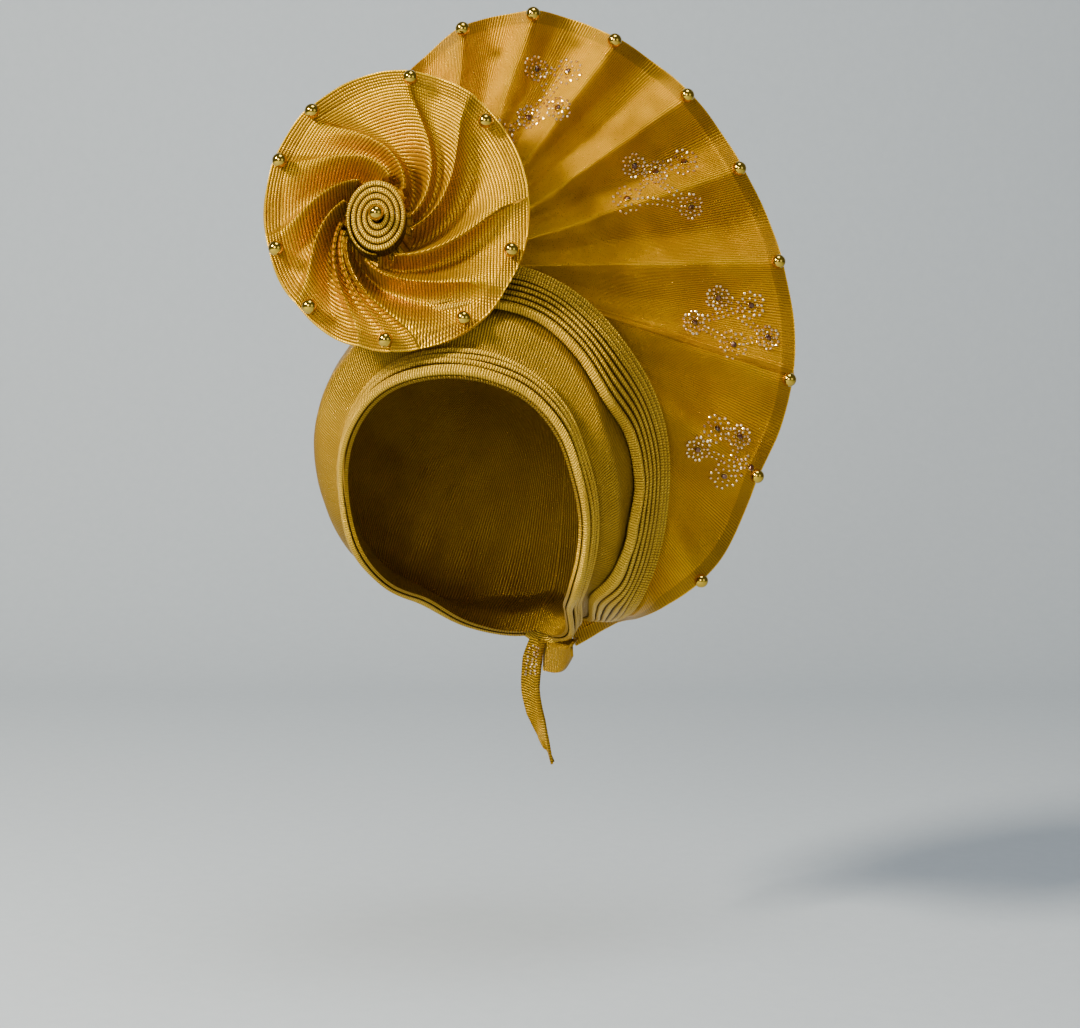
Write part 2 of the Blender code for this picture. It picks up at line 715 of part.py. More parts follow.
def add_fan_trims(fan, bead_material, stone_material):
    """Beads on the fan's ridges and the larger stones of its sprays."""
    path = fan_root_path()
    for k, (angle, _, _) in enumerate(FAN_RIDGES):
        share = 1 - FAN_BEAD_INSET / fan_rim(angle)
        add_bead(f"fan_bead_{k + 1}", fan, fan_point(path, angle, share), OUT, bead_material)
    for k, spray in enumerate(STONE_SPRAYS):
        for j, (angle, share) in enumerate(spray):
            root_reach = fan_root(path, angle)[0]
            inward = (share * fan_rim(angle) - root_reach) / (fan_rim(angle) - root_reach)
            spot = fan_point(path, angle, max(0.1, inward))
            add_stone(f"stone_{k + 1}_{j + 1}", fan, spot, OUT, stone_material)


def add_rosette_beads(rosette, coil, material):
    """Beads round the rosette's rim, and one in the coil."""
    frame = rosette.matrix_world.copy()
    outward = (frame.to_3x3() @ Vector((0, 0, 1))).normalized()
    for k, angle in enumerate(ROSETTE_BEADS):
        spot = frame @ rosette_point(angle, 1 - ROSETTE_BEAD_INSET / ROSETTE_HALF_WIDTH)
        add_bead(f"rosette_bead_{k + 1}", rosette, spot, outward, material)
    centre = frame @ Vector((COIL_ACROSS, COIL_UP, 0.0))
    add_bead(f"rosette_bead_{len(ROSETTE_BEADS) + 1}", coil, centre, outward, material)


def main():
    """Build the head tie."""
    for leftover in list(bpy.data.objects):
        bpy.data.objects.remove(leftover, do_unlink=True)
    collection = bpy.data.collections.new("gele_head_tie")
    bpy.context.scene.collection.children.link(collection)
    cloth = make_material("golden_ribbed_cloth", (0.62, 0.36, 0.06), 0.55, sheen=0.3)
    fold = make_material("folded_ribbed_cloth", (0.55, 0.31, 0.05), 0.55, sheen=0.3)
    bead = make_material("gold_bead", (0.83, 0.60, 0.17), 0.12, metallic=1.0)
    stone = make_material("topaz_stone", (0.25, 0.13, 0.04), 0.05)
    wrap = add_crown_wrap(cloth)
    brow_pleats = add_brow_pleats(fold)
    side_pleats = add_side_pleats(fold)
    fan = add_fan(cloth)
    rosette = add_rosette(cloth, [wrap, *brow_pleats, *side_pleats, fan])
    bpy.context.view_layer.update()
    coil = add_rosette_coil(rosette.matrix_world, fold)
    add_rosette_stalk(rosette.matrix_world, wrap, fold)
    knot = add_nape_knot([wrap, *brow_pleats, *side_pleats, fan], fold)
    add_nape_flap(knot, cloth)
    add_tie_strap(knot, cloth)
    add_fan_trims(fan, bead, stone)
    add_rosette_beads(rosette, coil, bead)


if __name__ == "__main__":
    main()
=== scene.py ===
"""Dresses the tied gele head tie: ribbed golden cloth, gathered fan, swirled rosette, gold beads and stones.

Metres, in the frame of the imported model: +Z up, -Y the wearer's front, +X the wearer's left.
"""

import logging
import math
from dataclasses import dataclass
from enum import Enum
from typing import Any, Sequence

import bmesh
import bpy
import numpy as np
from mathutils import Matrix, Vector


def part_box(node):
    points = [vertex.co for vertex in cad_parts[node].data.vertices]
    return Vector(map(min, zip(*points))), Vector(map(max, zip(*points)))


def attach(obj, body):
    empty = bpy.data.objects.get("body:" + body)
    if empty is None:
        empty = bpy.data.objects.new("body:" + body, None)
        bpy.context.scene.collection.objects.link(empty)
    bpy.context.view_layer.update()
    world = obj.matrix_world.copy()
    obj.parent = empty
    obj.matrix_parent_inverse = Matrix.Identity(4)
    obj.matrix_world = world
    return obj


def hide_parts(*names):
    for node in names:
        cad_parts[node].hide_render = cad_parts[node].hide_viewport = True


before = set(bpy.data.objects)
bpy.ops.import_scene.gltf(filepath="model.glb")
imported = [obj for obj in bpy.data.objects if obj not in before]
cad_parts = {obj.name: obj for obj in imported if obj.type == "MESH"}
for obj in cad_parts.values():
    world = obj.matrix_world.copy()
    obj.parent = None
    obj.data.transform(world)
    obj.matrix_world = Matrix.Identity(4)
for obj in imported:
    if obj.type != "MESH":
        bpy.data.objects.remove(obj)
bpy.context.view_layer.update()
LOG = logging.getLogger("gele")
Array = np.ndarray
Rows = Sequence[Sequence[float]]

# The head tie is seen from 25 degrees to the wearer's left: across, up and out towards the eye
VIEW_TURN = math.radians(25.0)
ACROSS = np.array([math.cos(VIEW_TURN), math.sin(VIEW_TURN), 0.0])
UP = np.array([0.0, 0.0, 1.0])
OUT = np.array([math.sin(VIEW_TURN), -math.cos(VIEW_TURN), 0.0])
MM = 0.001
# The lit crest of a fold and the foot of its open side, which set where the painted shade on its side begins,
# and the run-out of a hem's edge
CREST_DEPTH = 2.0 * MM
OPEN_DEPTH = 0.5 * MM
HEM_RUN = 0.6 * MM


class Hold(Enum):
    """How a sheet of cloth is held."""

    GATHERED = "gathered"
    STRETCHED = "stretched"
    HUNG = "hung"


class Slot(Enum):
    """Material slots of the record."""

    CLOTH = "golden_ribbed_cloth"
    FOLD = "folded_ribbed_cloth"
    BEAD = "gold_bead"
    STONE = "topaz_stone"


# ---- numbers along curves


def curve(rows: Rows, column: int, at: Any) -> Array:
    """Value of a table's column on the smooth curve through its rows.

    Args:
        rows: Table whose first column rises.
        column: Column that is read.
        at: Places in the first column's unit.

    Returns:
        The values at those places.
    """
    places = np.array([row[0] for row in rows], float)
    values = np.array([row[column] for row in rows], float)
    slopes = np.gradient(values, places)
    at = np.clip(np.asarray(at, float), places[0], places[-1])
    k = np.clip(np.searchsorted(places, at, side="right") - 1, 0, len(places) - 2)
    run = places[k + 1] - places[k]
    t = (at - places[k]) / run
    start = (1 + 2 * t) * (1 - t) ** 2 * values[k] + t * (1 - t) ** 2 * run * slopes[k]
    end = t * t * (3 - 2 * t) * values[k + 1] + t * t * (t - 1) * run * slopes[k + 1]
    return start + end


def between(marks: Sequence[float], steps: int) -> Array:
    """Even steps from each mark to the next, with the last mark at the end."""
    runs = [np.linspace(a, b, steps, endpoint=False) for a, b in zip(marks, marks[1:])]
    return np.concatenate([*runs, [marks[-1]]])


def eased(t: Any) -> Array:
    """Smooth step from 0 to 1."""
    t = np.clip(t, 0.0, 1.0)
    return t * t * (3 - 2 * t)


def hump(at: Any, middle: float, width: float) -> Array:
    """Bell of height 1 round a middle."""
    return np.exp(-(((np.asarray(at, float) - middle) / width) ** 2))


def ripple(points: Array, size: float, seed: int) -> Array:
    """Smooth irregular waves through space.

    Args:
        points: Points, the last axis x, y, z.
        size: Length of a wave in metres.
        seed: Number that picks the waves.

    Returns:
        Heights between about -1 and 1.
    """
    picks = np.random.default_rng(seed)
    total = np.zeros(points.shape[:-1])
    for _ in range(7):
        way = picks.normal(size=3)
        way *= 2 * math.pi / (size * picks.uniform(0.7, 1.5) * np.linalg.norm(way))
        total += np.sin(points @ way + picks.uniform(0, 2 * math.pi))
    return total / 3.5


def as_seen(across: Any, up: Any, out: Any) -> Array:
    """Points given across, up and out as the eye sees the head tie."""
    across, up, out = np.broadcast_arrays(across, up, out)
    return across[..., None] * ACROSS + up[..., None] * UP + out[..., None] * OUT


def along_rows(points: Array) -> Array:
    """Distance along each row of points, from its first point."""
    steps = np.linalg.norm(np.diff(points, axis=1), axis=-1)
    return np.concatenate([np.zeros((len(points), 1)), np.cumsum(steps, axis=1)], axis=1)


def face_weave(points: Array) -> Array:
    """Weave of a grid of points: the distances along its rows and down its columns."""
    return np.stack([along_rows(points), along_rows(points.transpose(1, 0, 2)).T], axis=-1)


def ring_section(over: Sequence[Any], high: Sequence[Any]) -> tuple[Array, Array]:
    """Section of a fold, joined from its parts and closed on its first corner."""
    over, high = np.concatenate(over), np.concatenate(high)
    return np.append(over, over[0]), np.append(high, high[0])


def rope_weave(points: Array) -> Array:
    """Weave whose ribs run straight across a long fold.

    Args:
        points: Stations along the fold by corners of its section.

    Returns:
        The place along the fold and round its section, in metres.
    """
    crest = np.argmax(np.linalg.norm(points[0] - points[0].mean(0), axis=-1))
    length = along_rows(points.transpose(1, 0, 2))[crest][:, None]
    return np.stack([np.broadcast_to(length, points.shape[:2]), along_rows(points)], axis=-1)


def fold_depth(rise: Any, high: Array, open_side: Array | None = None) -> Array:
    """Height that sets how much painted shade a fold's side gets.

    Args:
        rise: Height of the fold at each station.
        high: Share of the height round the section.
        open_side: True round the section where no other fold lies beside it.

    Returns:
        Height over a level 2 mm below the crest, and on an open side the height over the wrap.
    """
    depth = CREST_DEPTH + rise * (high[None, :] - 1)
    if open_side is None:
        return depth
    return np.where(open_side[None, :], OPEN_DEPTH + rise * high[None, :], depth)


def hem_step(inward: Array, edge: float) -> Array:
    """Rise in mm of the hem's second layer, at distances in from the rim."""
    return 0.35 * eased((edge - inward) / HEM_RUN)


# ---- finishes


def tint(code: str) -> tuple[float, float, float, float]:
    """Linear colour of an sRGB hex code.

    Args:
        code: Six hex digits.

    Returns:
        Red, green, blue and alpha.
    """
    parts = [int(code[k : k + 2], 16) / 255 for k in (0, 2, 4)]
    linear = [p / 12.92 if p <= 0.04045 else ((p + 0.055) / 1.055) ** 2.4 for p in parts]
    return (*linear, 1.0)


def set_inputs(tree: bpy.types.NodeTree, node: Any, inputs: dict) -> None:
    """Sets the inputs of a node.

    Args:
        tree: Node tree that holds the node.
        node: The node.
        inputs: Socket name or number to a value, or to the output socket that is linked to it.
    """
    for name, value in inputs.items():
        if isinstance(value, bpy.types.NodeSocket):
            tree.links.new(value, node.inputs[name])
        else:
            node.inputs[name].default_value = value


def add_node(tree: bpy.types.NodeTree, kind: str, inputs: dict | None = None, **settings: Any) -> Any:
    """Adds a node with its settings and links.

    Args:
        tree: Node tree that gets the node.
        kind: Node type, without its ShaderNode prefix.
        inputs: Socket name or number to a value, or to the output socket that is linked to it.
        settings: Properties of the node.

    Returns:
        The node.
    """
    node = tree.nodes.new("ShaderNode" + kind)
    for name, value in settings.items():
        setattr(node, name, value)
    set_inputs(tree, node, inputs or {})
    return node


@dataclass
class Finish:
    """A material in the making: its nodes are added one by one and end in its shader."""

    name: str

    def __post_init__(self) -> None:
        """Makes the material with its shader and its object coordinates."""
        self.material = bpy.data.materials.new(self.name)
        self.material.use_nodes = True
        self.tree = self.material.node_tree
        self.place = add_node(self.tree, "TexCoord").outputs["Object"]

    def maths(self, operation: str, *values: Any) -> Any:
        """Result of a maths operation on one value or two."""
        return add_node(self.tree, "Math", dict(enumerate(values)), operation=operation).outputs[0]

    def noise(self, scale: float, detail: float) -> Any:
        """Soft noise with so many spots in a metre."""
        inputs = {"Vector": self.place, "Scale": scale, "Detail": detail}
        return add_node(self.tree, "TexNoise", inputs).outputs[0]

    def ranged(self, value: Any, low: float, high: float, first: float = 0.0, last: float = 1.0) -> Any:
        """Value that runs from first to last while the given one runs from low to high."""
        limits = {"From Min": low, "From Max": high, "To Min": first, "To Max": last}
        return add_node(self.tree, "MapRange", {"Value": value, **limits}).outputs[0]

    def blend(self, factor: Any, under: Any, over: Any) -> Any:
        """Mix of two colours, each an sRGB hex code or a socket."""
        first, second = (tint(look) if isinstance(look, str) else look for look in (under, over))
        inputs = {"Factor": factor, "A": first, "B": second}
        return add_node(self.tree, "Mix", inputs, data_type="RGBA").outputs["Result"]

    def bump(self, height: Any, distance: float, strength: float) -> Any:
        """Normal of a fine relief, its depth in metres."""
        inputs = {"Height": height, "Distance": distance, "Strength": strength}
        return add_node(self.tree, "Bump", inputs).outputs[0]

    def end(self, inputs: dict) -> bpy.types.Material:
        """Sets the shader's own sockets and returns the material."""
        set_inputs(self.tree, self.tree.nodes["Principled BSDF"], inputs)
        return self.material


@dataclass(frozen=True)
class RibbedCloth:
    """Satin-faced ribbed head-tie cloth with fine lurex threads.

    The eye gets rounded ribs with a dark groove between them, which is painted shade, rib crests painted
    towards the lit colour as painted highlight, a soft golden sheen on every fold that turns to the light,
    and scattered glints of the metal thread. The rib is the spacing of the ribs. The weft is that of the
    cross threads, which are really about 0.4 mm apart and are drawn coarser so that they show.
    """

    name: str
    rib: float
    body: str
    # Painted highlight colour of the rib crests and of a thin line along the rim
    lit: str
    # Painted shade colour of the grooves between the ribs
    groove: str
    glint: str = "FFD860"
    sheen: str = "FFC840"
    # Painted shade colour of a fold's side, and colour of the turned hem's band, partly its double layer and
    # partly painted shade
    hem: str = "7E5C10"
    hem_width: float = 8.5 * MM
    hem_run: float = HEM_RUN
    hem_shade_share: float = 0.55
    rim_highlight_width: float = 0.9 * MM
    # Width of the painted highlight along the rim
    groove_depth: float = 0.75
    rib_height: float = 0.50 * MM
    weft: float = 0.9 * MM
    even_face: float = 0.8
    roughness: float = 0.32
    metallic: float = 0.75

    def build(self) -> bpy.types.Material:
        """Makes the material from its nodes.

        Returns:
            The material.
        """
        finish = Finish(self.name)
        tree, maths, ranged = finish.tree, finish.maths, finish.ranged
        way, lay = (
            add_node(tree, "SeparateXYZ", {0: add_node(tree, "UVMap", uv_map=title).outputs[0]}).outputs
            for title in ("weave", "lay")
        )
        # The ribs wander a little, as threads do
        drift = maths("MULTIPLY", finish.noise(160.0, 2.0), 0.35 * self.rib)
        phase = maths("MULTIPLY", maths("ADD", way["X"], drift), math.pi / self.rib)
        cord = maths("POWER", maths("ABSOLUTE", maths("SINE", phase)), 0.7)
        # Where the second value of the lay map is low, the ribs fade to an even face
        rib = add_node(tree, "Mix", {"Factor": lay["Y"], "A": self.even_face, "B": cord}).outputs["Result"]
        turn = maths("MULTIPLY", way["Y"], 2 * math.pi / self.weft)
        weft = maths("SINE", maths("ADD", turn, phase))
        grain, patch = finish.noise(1400.0, 2.0), finish.noise(38.0, 3.0)
        # Painted shade: the grooves between the ribs are mixed from the body colour towards the groove colour
        deep = ranged(rib, 0.15, 0.85, 1 - self.groove_depth, 1.0)
        groove_shaded = finish.blend(deep, self.groove, self.body)
        # Painted highlight: the rib crests are mixed towards the lit colour, more in some random patches than
        # in others
        rib_shade_and_highlight = finish.blend(maths("MULTIPLY", ranged(patch, 0.25, 0.8, 0.12, 0.42), deep), groove_shaded, self.lit)
        sparked = finish.blend(ranged(grain, 0.62, 0.76, 0.0, 0.5), rib_shade_and_highlight, self.glint)
        # Painted shade: the side of a fold, below its lit crest, is darker; the turned hem's band is darker,
        # partly its double layer and partly painted shade
        first, last = self.hem_width - self.hem_run / 2, self.hem_width + self.hem_run / 2
        hem_and_fold_shade = finish.blend(ranged(lay["X"], first, last, self.hem_shade_share, 0.0), sparked, self.hem)
        # Painted highlight: a thin line along the rim is mixed towards the lit colour
        if self.rim_highlight_width:
            rim_highlight = ranged(lay["X"], 0.5 * self.rim_highlight_width, self.rim_highlight_width, 0.7, 0.0)
            hem_and_fold_shade = finish.blend(rim_highlight, hem_and_fold_shade, self.lit)
        woven = maths("ADD", rib, maths("MULTIPLY", weft, 0.16))
        return finish.end(
            {
                "Base Color": hem_and_fold_shade,
                "Roughness": ranged(grain, 0.3, 0.75, self.roughness + 0.12, self.roughness - 0.1),
                "Metallic": self.metallic,
                "Sheen Weight": 0.06,
                "Sheen Roughness": 0.4,
                "Sheen Tint": tint(self.sheen),
                "Specular IOR Level": 0.12,
                "Normal": finish.bump(woven, self.rib_height, 0.9),
            }
        )


@dataclass(frozen=True)
class PolishedGold:
    """Vacuum-plated gold bead: a mirror with a faint green cast and hairline scuffs."""

    name: str = "polished_gold_plate"
    colour: str = "D8B545"
    worn: str = "B8962A"
    roughness: float = 0.09

    def build(self) -> bpy.types.Material:
        """Makes the material from its nodes.

        Returns:
            The material.
        """
        finish = Finish(self.name)
        scuff = finish.noise(700.0, 4.0)
        rough = finish.ranged(scuff, 0.0, 1.0, self.roughness - 0.04, self.roughness + 0.08)
        tone = finish.blend(scuff, self.worn, self.colour)
        return finish.end({"Base Color": tone, "Roughness": rough, "Metallic": 1.0})


@dataclass(frozen=True)
class CutGlass:
    """Foil-backed cut glass: sharp facets that flash, with the foil's tone between the flashes."""

    name: str
    colour: str
    foil: str
    roughness: float = 0.06
    metallic: float = 0.5

    def build(self) -> bpy.types.Material:
        """Makes the material from its nodes.

        Returns:
            The material.
        """
        finish = Finish(self.name)
        tone = finish.blend(finish.ranged(finish.noise(240.0, 1.0), 0.35, 0.65), self.colour, self.foil)
        surface = {"Base Color": tone, "Roughness": self.roughness, "Metallic": self.metallic}
        return finish.end({**surface, "Coat Weight": 1.0, "Coat Roughness": 0.03})


@dataclass(frozen=True)
class PaintedBoard:
    """Matt painted studio board: an even pale face with a faint roller texture."""

    name: str = "matt_painted_board"
    colour: str = "BAC5CF"
    raised: str = "C2CCD5"

    def build(self) -> bpy.types.Material:
        """Makes the material from its nodes.

        Returns:
            The material.
        """
        finish = Finish(self.name)
        roller = finish.noise(90.0, 3.0)
        tone, normal = finish.blend(roller, self.colour, self.raised), finish.bump(roller, 0.4 * MM, 0.2)
        return finish.end({"Base Color": tone, "Normal": normal, "Roughness": 0.85})


# ---- making pieces


def link_object(name: str, data: Any) -> bpy.types.Object:
    """New object of the given data, linked to the scene.

    Args:
        name: Name of the object.
        data: Its mesh, camera or light.

    Returns:
        The object.
    """
    item = bpy.data.objects.new(name, data)
    bpy.context.scene.collection.objects.link(item)
    return item


def object_of(built: bmesh.types.BMesh, name: str) -> bpy.types.Object:
    """New object of a built mesh, which is set free.

    Args:
        built: The built mesh.
        name: Name of the object and its mesh.

    Returns:
        The object.
    """
    mesh = bpy.data.meshes.new(name)
    built.to_mesh(mesh)
    built.free()
    return link_object(name, mesh)


def deselect_all() -> None:
    """Clears the selection, so that an operator acts on its own object alone."""
    for item in bpy.context.selected_objects:
        item.select_set(False)


def make_active(piece: bpy.types.Object) -> None:
    """Selects one object alone and makes it active.

    Args:
        piece: The object.
    """
    deselect_all()
    piece.select_set(True)
    bpy.context.view_layer.objects.active = piece


def woven_mesh(
    name: str,
    points: Array,
    weave: Array,
    hem: Array | None = None,
    closed: bool = False,
    flipped: bool = False,
) -> bpy.types.Object:
    """Object of a grid of points, with its weave and its lay as UV maps.

    Args:
        name: Name of the piece.
        points: Rows by columns of points.
        weave: Rows by columns of the place across the ribs and along them, in metres.
        hem: Rows by columns of the distance from the hemmed edge, or above the bottom of a fold, in metres,
        which sets the hem's darker band, the painted highlight along the rim and the painted shade of a
        fold's side, and where it has a second value, how plainly the ribs stand out from 0 to 1.
        closed: The last column lies on the first.
        flipped: Turns the faces round.

    Returns:
        The new object.
    """
    rows, columns = points.shape[:2]
    used = columns - 1 if closed else columns
    index = np.arange(rows * used).reshape(rows, used)
    if closed:
        index = np.concatenate([index, index[:, :1]], axis=1)
    full = np.arange(rows * columns).reshape(rows, columns)
    order = [(0, 0), (0, 1), (1, 1), (1, 0)]
    if flipped:
        order.reverse()

    def corners(grid: Array) -> Array:
        """The four corners of each face."""
        tall, wide = grid.shape
        return np.stack([grid[r : tall - 1 + r, c : wide - 1 + c] for r, c in order], axis=-1).reshape(-1, 4)

    mesh = bpy.data.meshes.new(name)
    mesh.from_pydata(points[:, :used].reshape(-1, 3).tolist(), [], corners(index).tolist())
    taken = corners(full).ravel()
    if hem is None:
        hem = np.ones((rows, columns))
    if hem.ndim == 2:
        hem = np.stack([hem, np.ones_like(hem)], axis=-1)
    for title, values in (("weave", weave), ("lay", hem)):
        layer = mesh.uv_layers.new(name=title)
        layer.data.foreach_set("uv", values.reshape(-1, 2)[taken].astype(np.float32).ravel())
    mesh.update()
    return link_object(name, mesh)


def tidy_mesh(piece: bpy.types.Object, fill: bool = False) -> None:
    """Merges doubled points and can close open ends.

    Args:
        piece: Object whose mesh is changed.
        fill: Closes the open ends and turns the faces outwards.
    """
    built = bmesh.new()
    built.from_mesh(piece.data)
    bmesh.ops.remove_doubles(built, verts=built.verts, dist=1e-6)
    if fill:
        open_edges = [edge for edge in built.edges if edge.is_boundary]
        filled = bmesh.ops.holes_fill(built, edges=open_edges, sides=0)["faces"]
        bmesh.ops.triangulate(built, faces=filled)
        bmesh.ops.recalc_face_normals(built, faces=built.faces)
    built.to_mesh(piece.data)
    built.free()


def finish_piece(
    piece: bpy.types.Object,
    material: bpy.types.Material,
    slot: Slot,
    nodes: Sequence[str] = (),
    wall: float = 0.0,
    sharp: float = 60.0,
) -> None:
    """Gives a piece its wall, shading, finish and place in the frame.

    Args:
        piece: Object at the origin.
        material: Finish that it gets.
        slot: Material slot of the record; not used.
        nodes: CAD nodes that it stands for.
        wall: Thickness of the cloth behind the face side, in metres.
        sharp: Angle in degrees past which an edge stays sharp.
    """
    make_active(piece)
    if wall:
        thick = piece.modifiers.new("wall", "SOLIDIFY")
        thick.thickness = wall
        thick.offset = -1.0
        bpy.ops.object.modifier_apply(modifier=thick.name)
    bpy.ops.object.shade_smooth_by_angle(angle=math.radians(sharp))
    piece.data.materials.clear()
    piece.data.materials.append(material)
    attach(piece, "root")
    if nodes:
        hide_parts(*nodes)
    deselect_all()
    LOG.info("%s: %d faces", piece.name, len(piece.data.polygons))


def fold_piece(
    name: str,
    node: str,
    points: Array,
    cloth: bpy.types.Material,
    weave: Array | None = None,
    depth: Array | None = None,
    sharp: float = 60.0,
) -> None:
    """Makes a closed fold of cloth.

    Args:
        name: Name of the piece.
        node: CAD node that it stands for.
        points: Stations along the fold by corners of its section, the last corner on the first.
        cloth: Finish of the fold.
        weave: Its weave, where the ribs don't run straight across it.
        depth: Height that sets how much painted shade its side gets.
        sharp: Angle in degrees past which an edge stays sharp.
    """
    weave = rope_weave(points) if weave is None else weave
    piece = woven_mesh(name, points, weave, depth, closed=True)
    tidy_mesh(piece, fill=True)
    finish_piece(piece, cloth, Slot.FOLD, [node], sharp=sharp)


def shift_to_node(points: Array, node: str, way: Array | None = None) -> Array:
    """How far points have to move for their box to share its middle with a CAD node's box.

    Args:
        points: Points of the piece.
        node: CAD node.
        way: Unit direction that the shift is kept to.

    Returns:
        The shift.
    """
    low, high = (np.array(corner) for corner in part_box(node))
    flat = points.reshape(-1, 3)
    shift = (low + high) / 2 - (flat.min(0) + flat.max(0)) / 2
    return shift if way is None else way * (shift @ way) / (way @ way)


def node_middle(node: str) -> Array:
    """Middle of a CAD node's box."""
    low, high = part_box(node)
    return np.array((low + high) / 2)


# ---- form of the tied head tie


@dataclass
class TiedForm:
    """Outer side of the wrap, given by a turn round its pole and an angle down from it."""

    half_width: float = 0.078
    half_depth: float = 0.097
    crown_rise: float = 0.098
    jaw_drop: float = 0.112
    nape_drop: float = 0.138
    ease: float = 0.001
    cloth: float = 0.002
    puff: float = 0.0175
    puff_run: float = 0.018
    tuck: float = 0.010
    tuck_run: float = 0.050
    pole_tilt: float = math.radians(44.0)
    pole_fullness: float = 0.70
    pole_cap: float = 60.0
    nape_run: float = 0.55
    brow_pleats: int = 4
    brow_pleat_width: float = 0.0041
    seat_gap: float = 0.0010
    # Columns: turn in degrees, angle from the pole in degrees
    brow_line: Rows = (
        (-180, 103), (-165, 110), (-150, 120), (-132, 129), (-110, 134), (-90, 134), (-66, 126), (-48, 118),
        (-32, 111), (-17, 105), (0, 101), (22, 97.5), (37, 97.5), (52, 102), (68, 111), (86, 119.5),
        (103, 127), (117, 131), (132, 130), (150, 121), (165, 111), (180, 103),
    )
    # Columns: turn in degrees, share of the puff, of the brow pleats' width, of the tuck
    fullness: Rows = (
        (-180, 0.60, 0.50, 0.0), (-150, 0.70, 0.60, 0.9), (-120, 0.90, 0.70, 0.3), (-90, 1.05, 0.75, 0.0),
        (-60, 1.15, 0.80, 0.0), (-30, 1.05, 1.00, 0.0), (0, 0.85, 1.00, 0.0), (45, 0.60, 1.00, 0.0),
        (90, 0.50, 1.00, 0.0), (120, 0.50, 0.85, 0.3), (150, 0.55, 0.65, 0.9), (180, 0.60, 0.50, 0.0),
    )
    # Columns: turn in degrees, angle from the pole of the first and of the last side pleat, rise share
    bundle: Rows = (
        (-8, 84, 74, 0.55), (5, 80.5, 65.5, 0.80), (17, 75, 56, 0.95), (31, 72, 53, 1.00),
        (45, 75, 54, 1.05), (60, 81, 57, 1.10), (80, 83, 62.5, 1.20), (98, 93, 70, 1.20),
        (112, 109, 80.5, 1.15), (122, 115, 91, 1.10), (132, 118.5, 101, 1.00), (145, 114, 102, 0.85),
        (156, 107, 97, 0.70), (164, 102, 94, 0.55), (172, 101, 95, 0.30),
    )
    rise_front: float = 0.0045
    rise_rear: float = 0.0130

    @property
    def radius(self) -> float:
        """Mean radius that turns angles into distances."""
        return (self.half_width + self.half_depth) / 2

    def direction(self, turn: Any, down: Any) -> Array:
        """Unit directions at a turn and an angle from the pole, both in degrees.

        Args:
            turn: Turn round the pole in degrees.
            down: Angle from the pole in degrees.

        Returns:
            The directions.
        """
        turn, down = np.radians(turn), np.radians(down)
        tilt = self.pole_tilt
        pole = np.array([0.0, math.sin(tilt), math.cos(tilt)])
        brow = np.array([0.0, -math.cos(tilt), math.sin(tilt)])
        left = np.array([1.0, 0.0, 0.0])
        level = np.cos(turn)[..., None] * brow + np.sin(turn)[..., None] * left
        return np.cos(down)[..., None] * pole + np.sin(down)[..., None] * level

    def band(self, turn: Any) -> Array:
        """Width of the band of brow pleats."""
        return self.brow_pleats * self.brow_pleat_width * curve(self.fullness, 2, turn)

    def edge(self, turn: Any) -> Array:
        """Angle from the pole of the face opening's edge."""
        return curve(self.brow_line, 1, turn)

    def cover(self, turn: Any, down: Any) -> Array:
        """How far the wrap's outer side stands off the wearer's head.

        Args:
            turn: Turn round the pole in degrees.
            down: Angle from the pole in degrees.

        Returns:
            The heights in metres.
        """
        from_edge = np.radians(self.edge(turn) - down) * self.radius
        swell = eased((from_edge - self.band(turn)) / self.puff_run)
        share = curve(self.fullness, 1, turn)
        share = share + (self.pole_fullness - share) * eased(1 - np.asarray(down, float) / self.pole_cap)
        tucked = curve(self.fullness, 3, turn) * (1 - eased(from_edge / self.tuck_run))
        return self.ease + self.cloth + self.puff * share * swell - self.tuck * tucked

    def point(self, turn: Any, down: Any, lift: Any = 0.0) -> Array:
        """Points lifted off the wrap's outer side.

        Args:
            turn: Turn round the pole from the front towards the wearer's left, in degrees.
            down: Angle from the pole in degrees.
            lift: Height over the wrap in metres.

        Returns:
            The points.
        """
        turn, down, lift = np.broadcast_arrays(
            np.asarray(turn, float), np.asarray(down, float), np.asarray(lift, float)
        )
        way = self.direction(turn, down)
        cover = self.cover(turn, down) + lift
        below = self.jaw_drop + (self.nape_drop - self.jaw_drop) * eased(way[..., 1] / self.nape_run)
        rise = np.where(way[..., 2] > 0, self.crown_rise, below)
        scaled = np.stack(
            [
                way[..., 0] / (self.half_width + cover),
                way[..., 1] / (self.half_depth + cover),
                way[..., 2] / (rise + cover),
            ],
            axis=-1,
        )
        return way / np.linalg.norm(scaled, axis=-1)[..., None]

    def bundle_place(self, turn: Any, step: Any) -> Array:
        """Angle from the pole in the bundle of side pleats, step 0 at its first and 1 at its last."""
        first, last = curve(self.bundle, 1, turn), curve(self.bundle, 2, turn)
        return first + (last - first) * step

    def bundle_rise(self, turn: Any, step: Any) -> Array:
        """Height of a side pleat over the wrap."""
        rise = self.rise_front + (self.rise_rear - self.rise_front) * step
        return rise * curve(self.bundle, 3, turn)


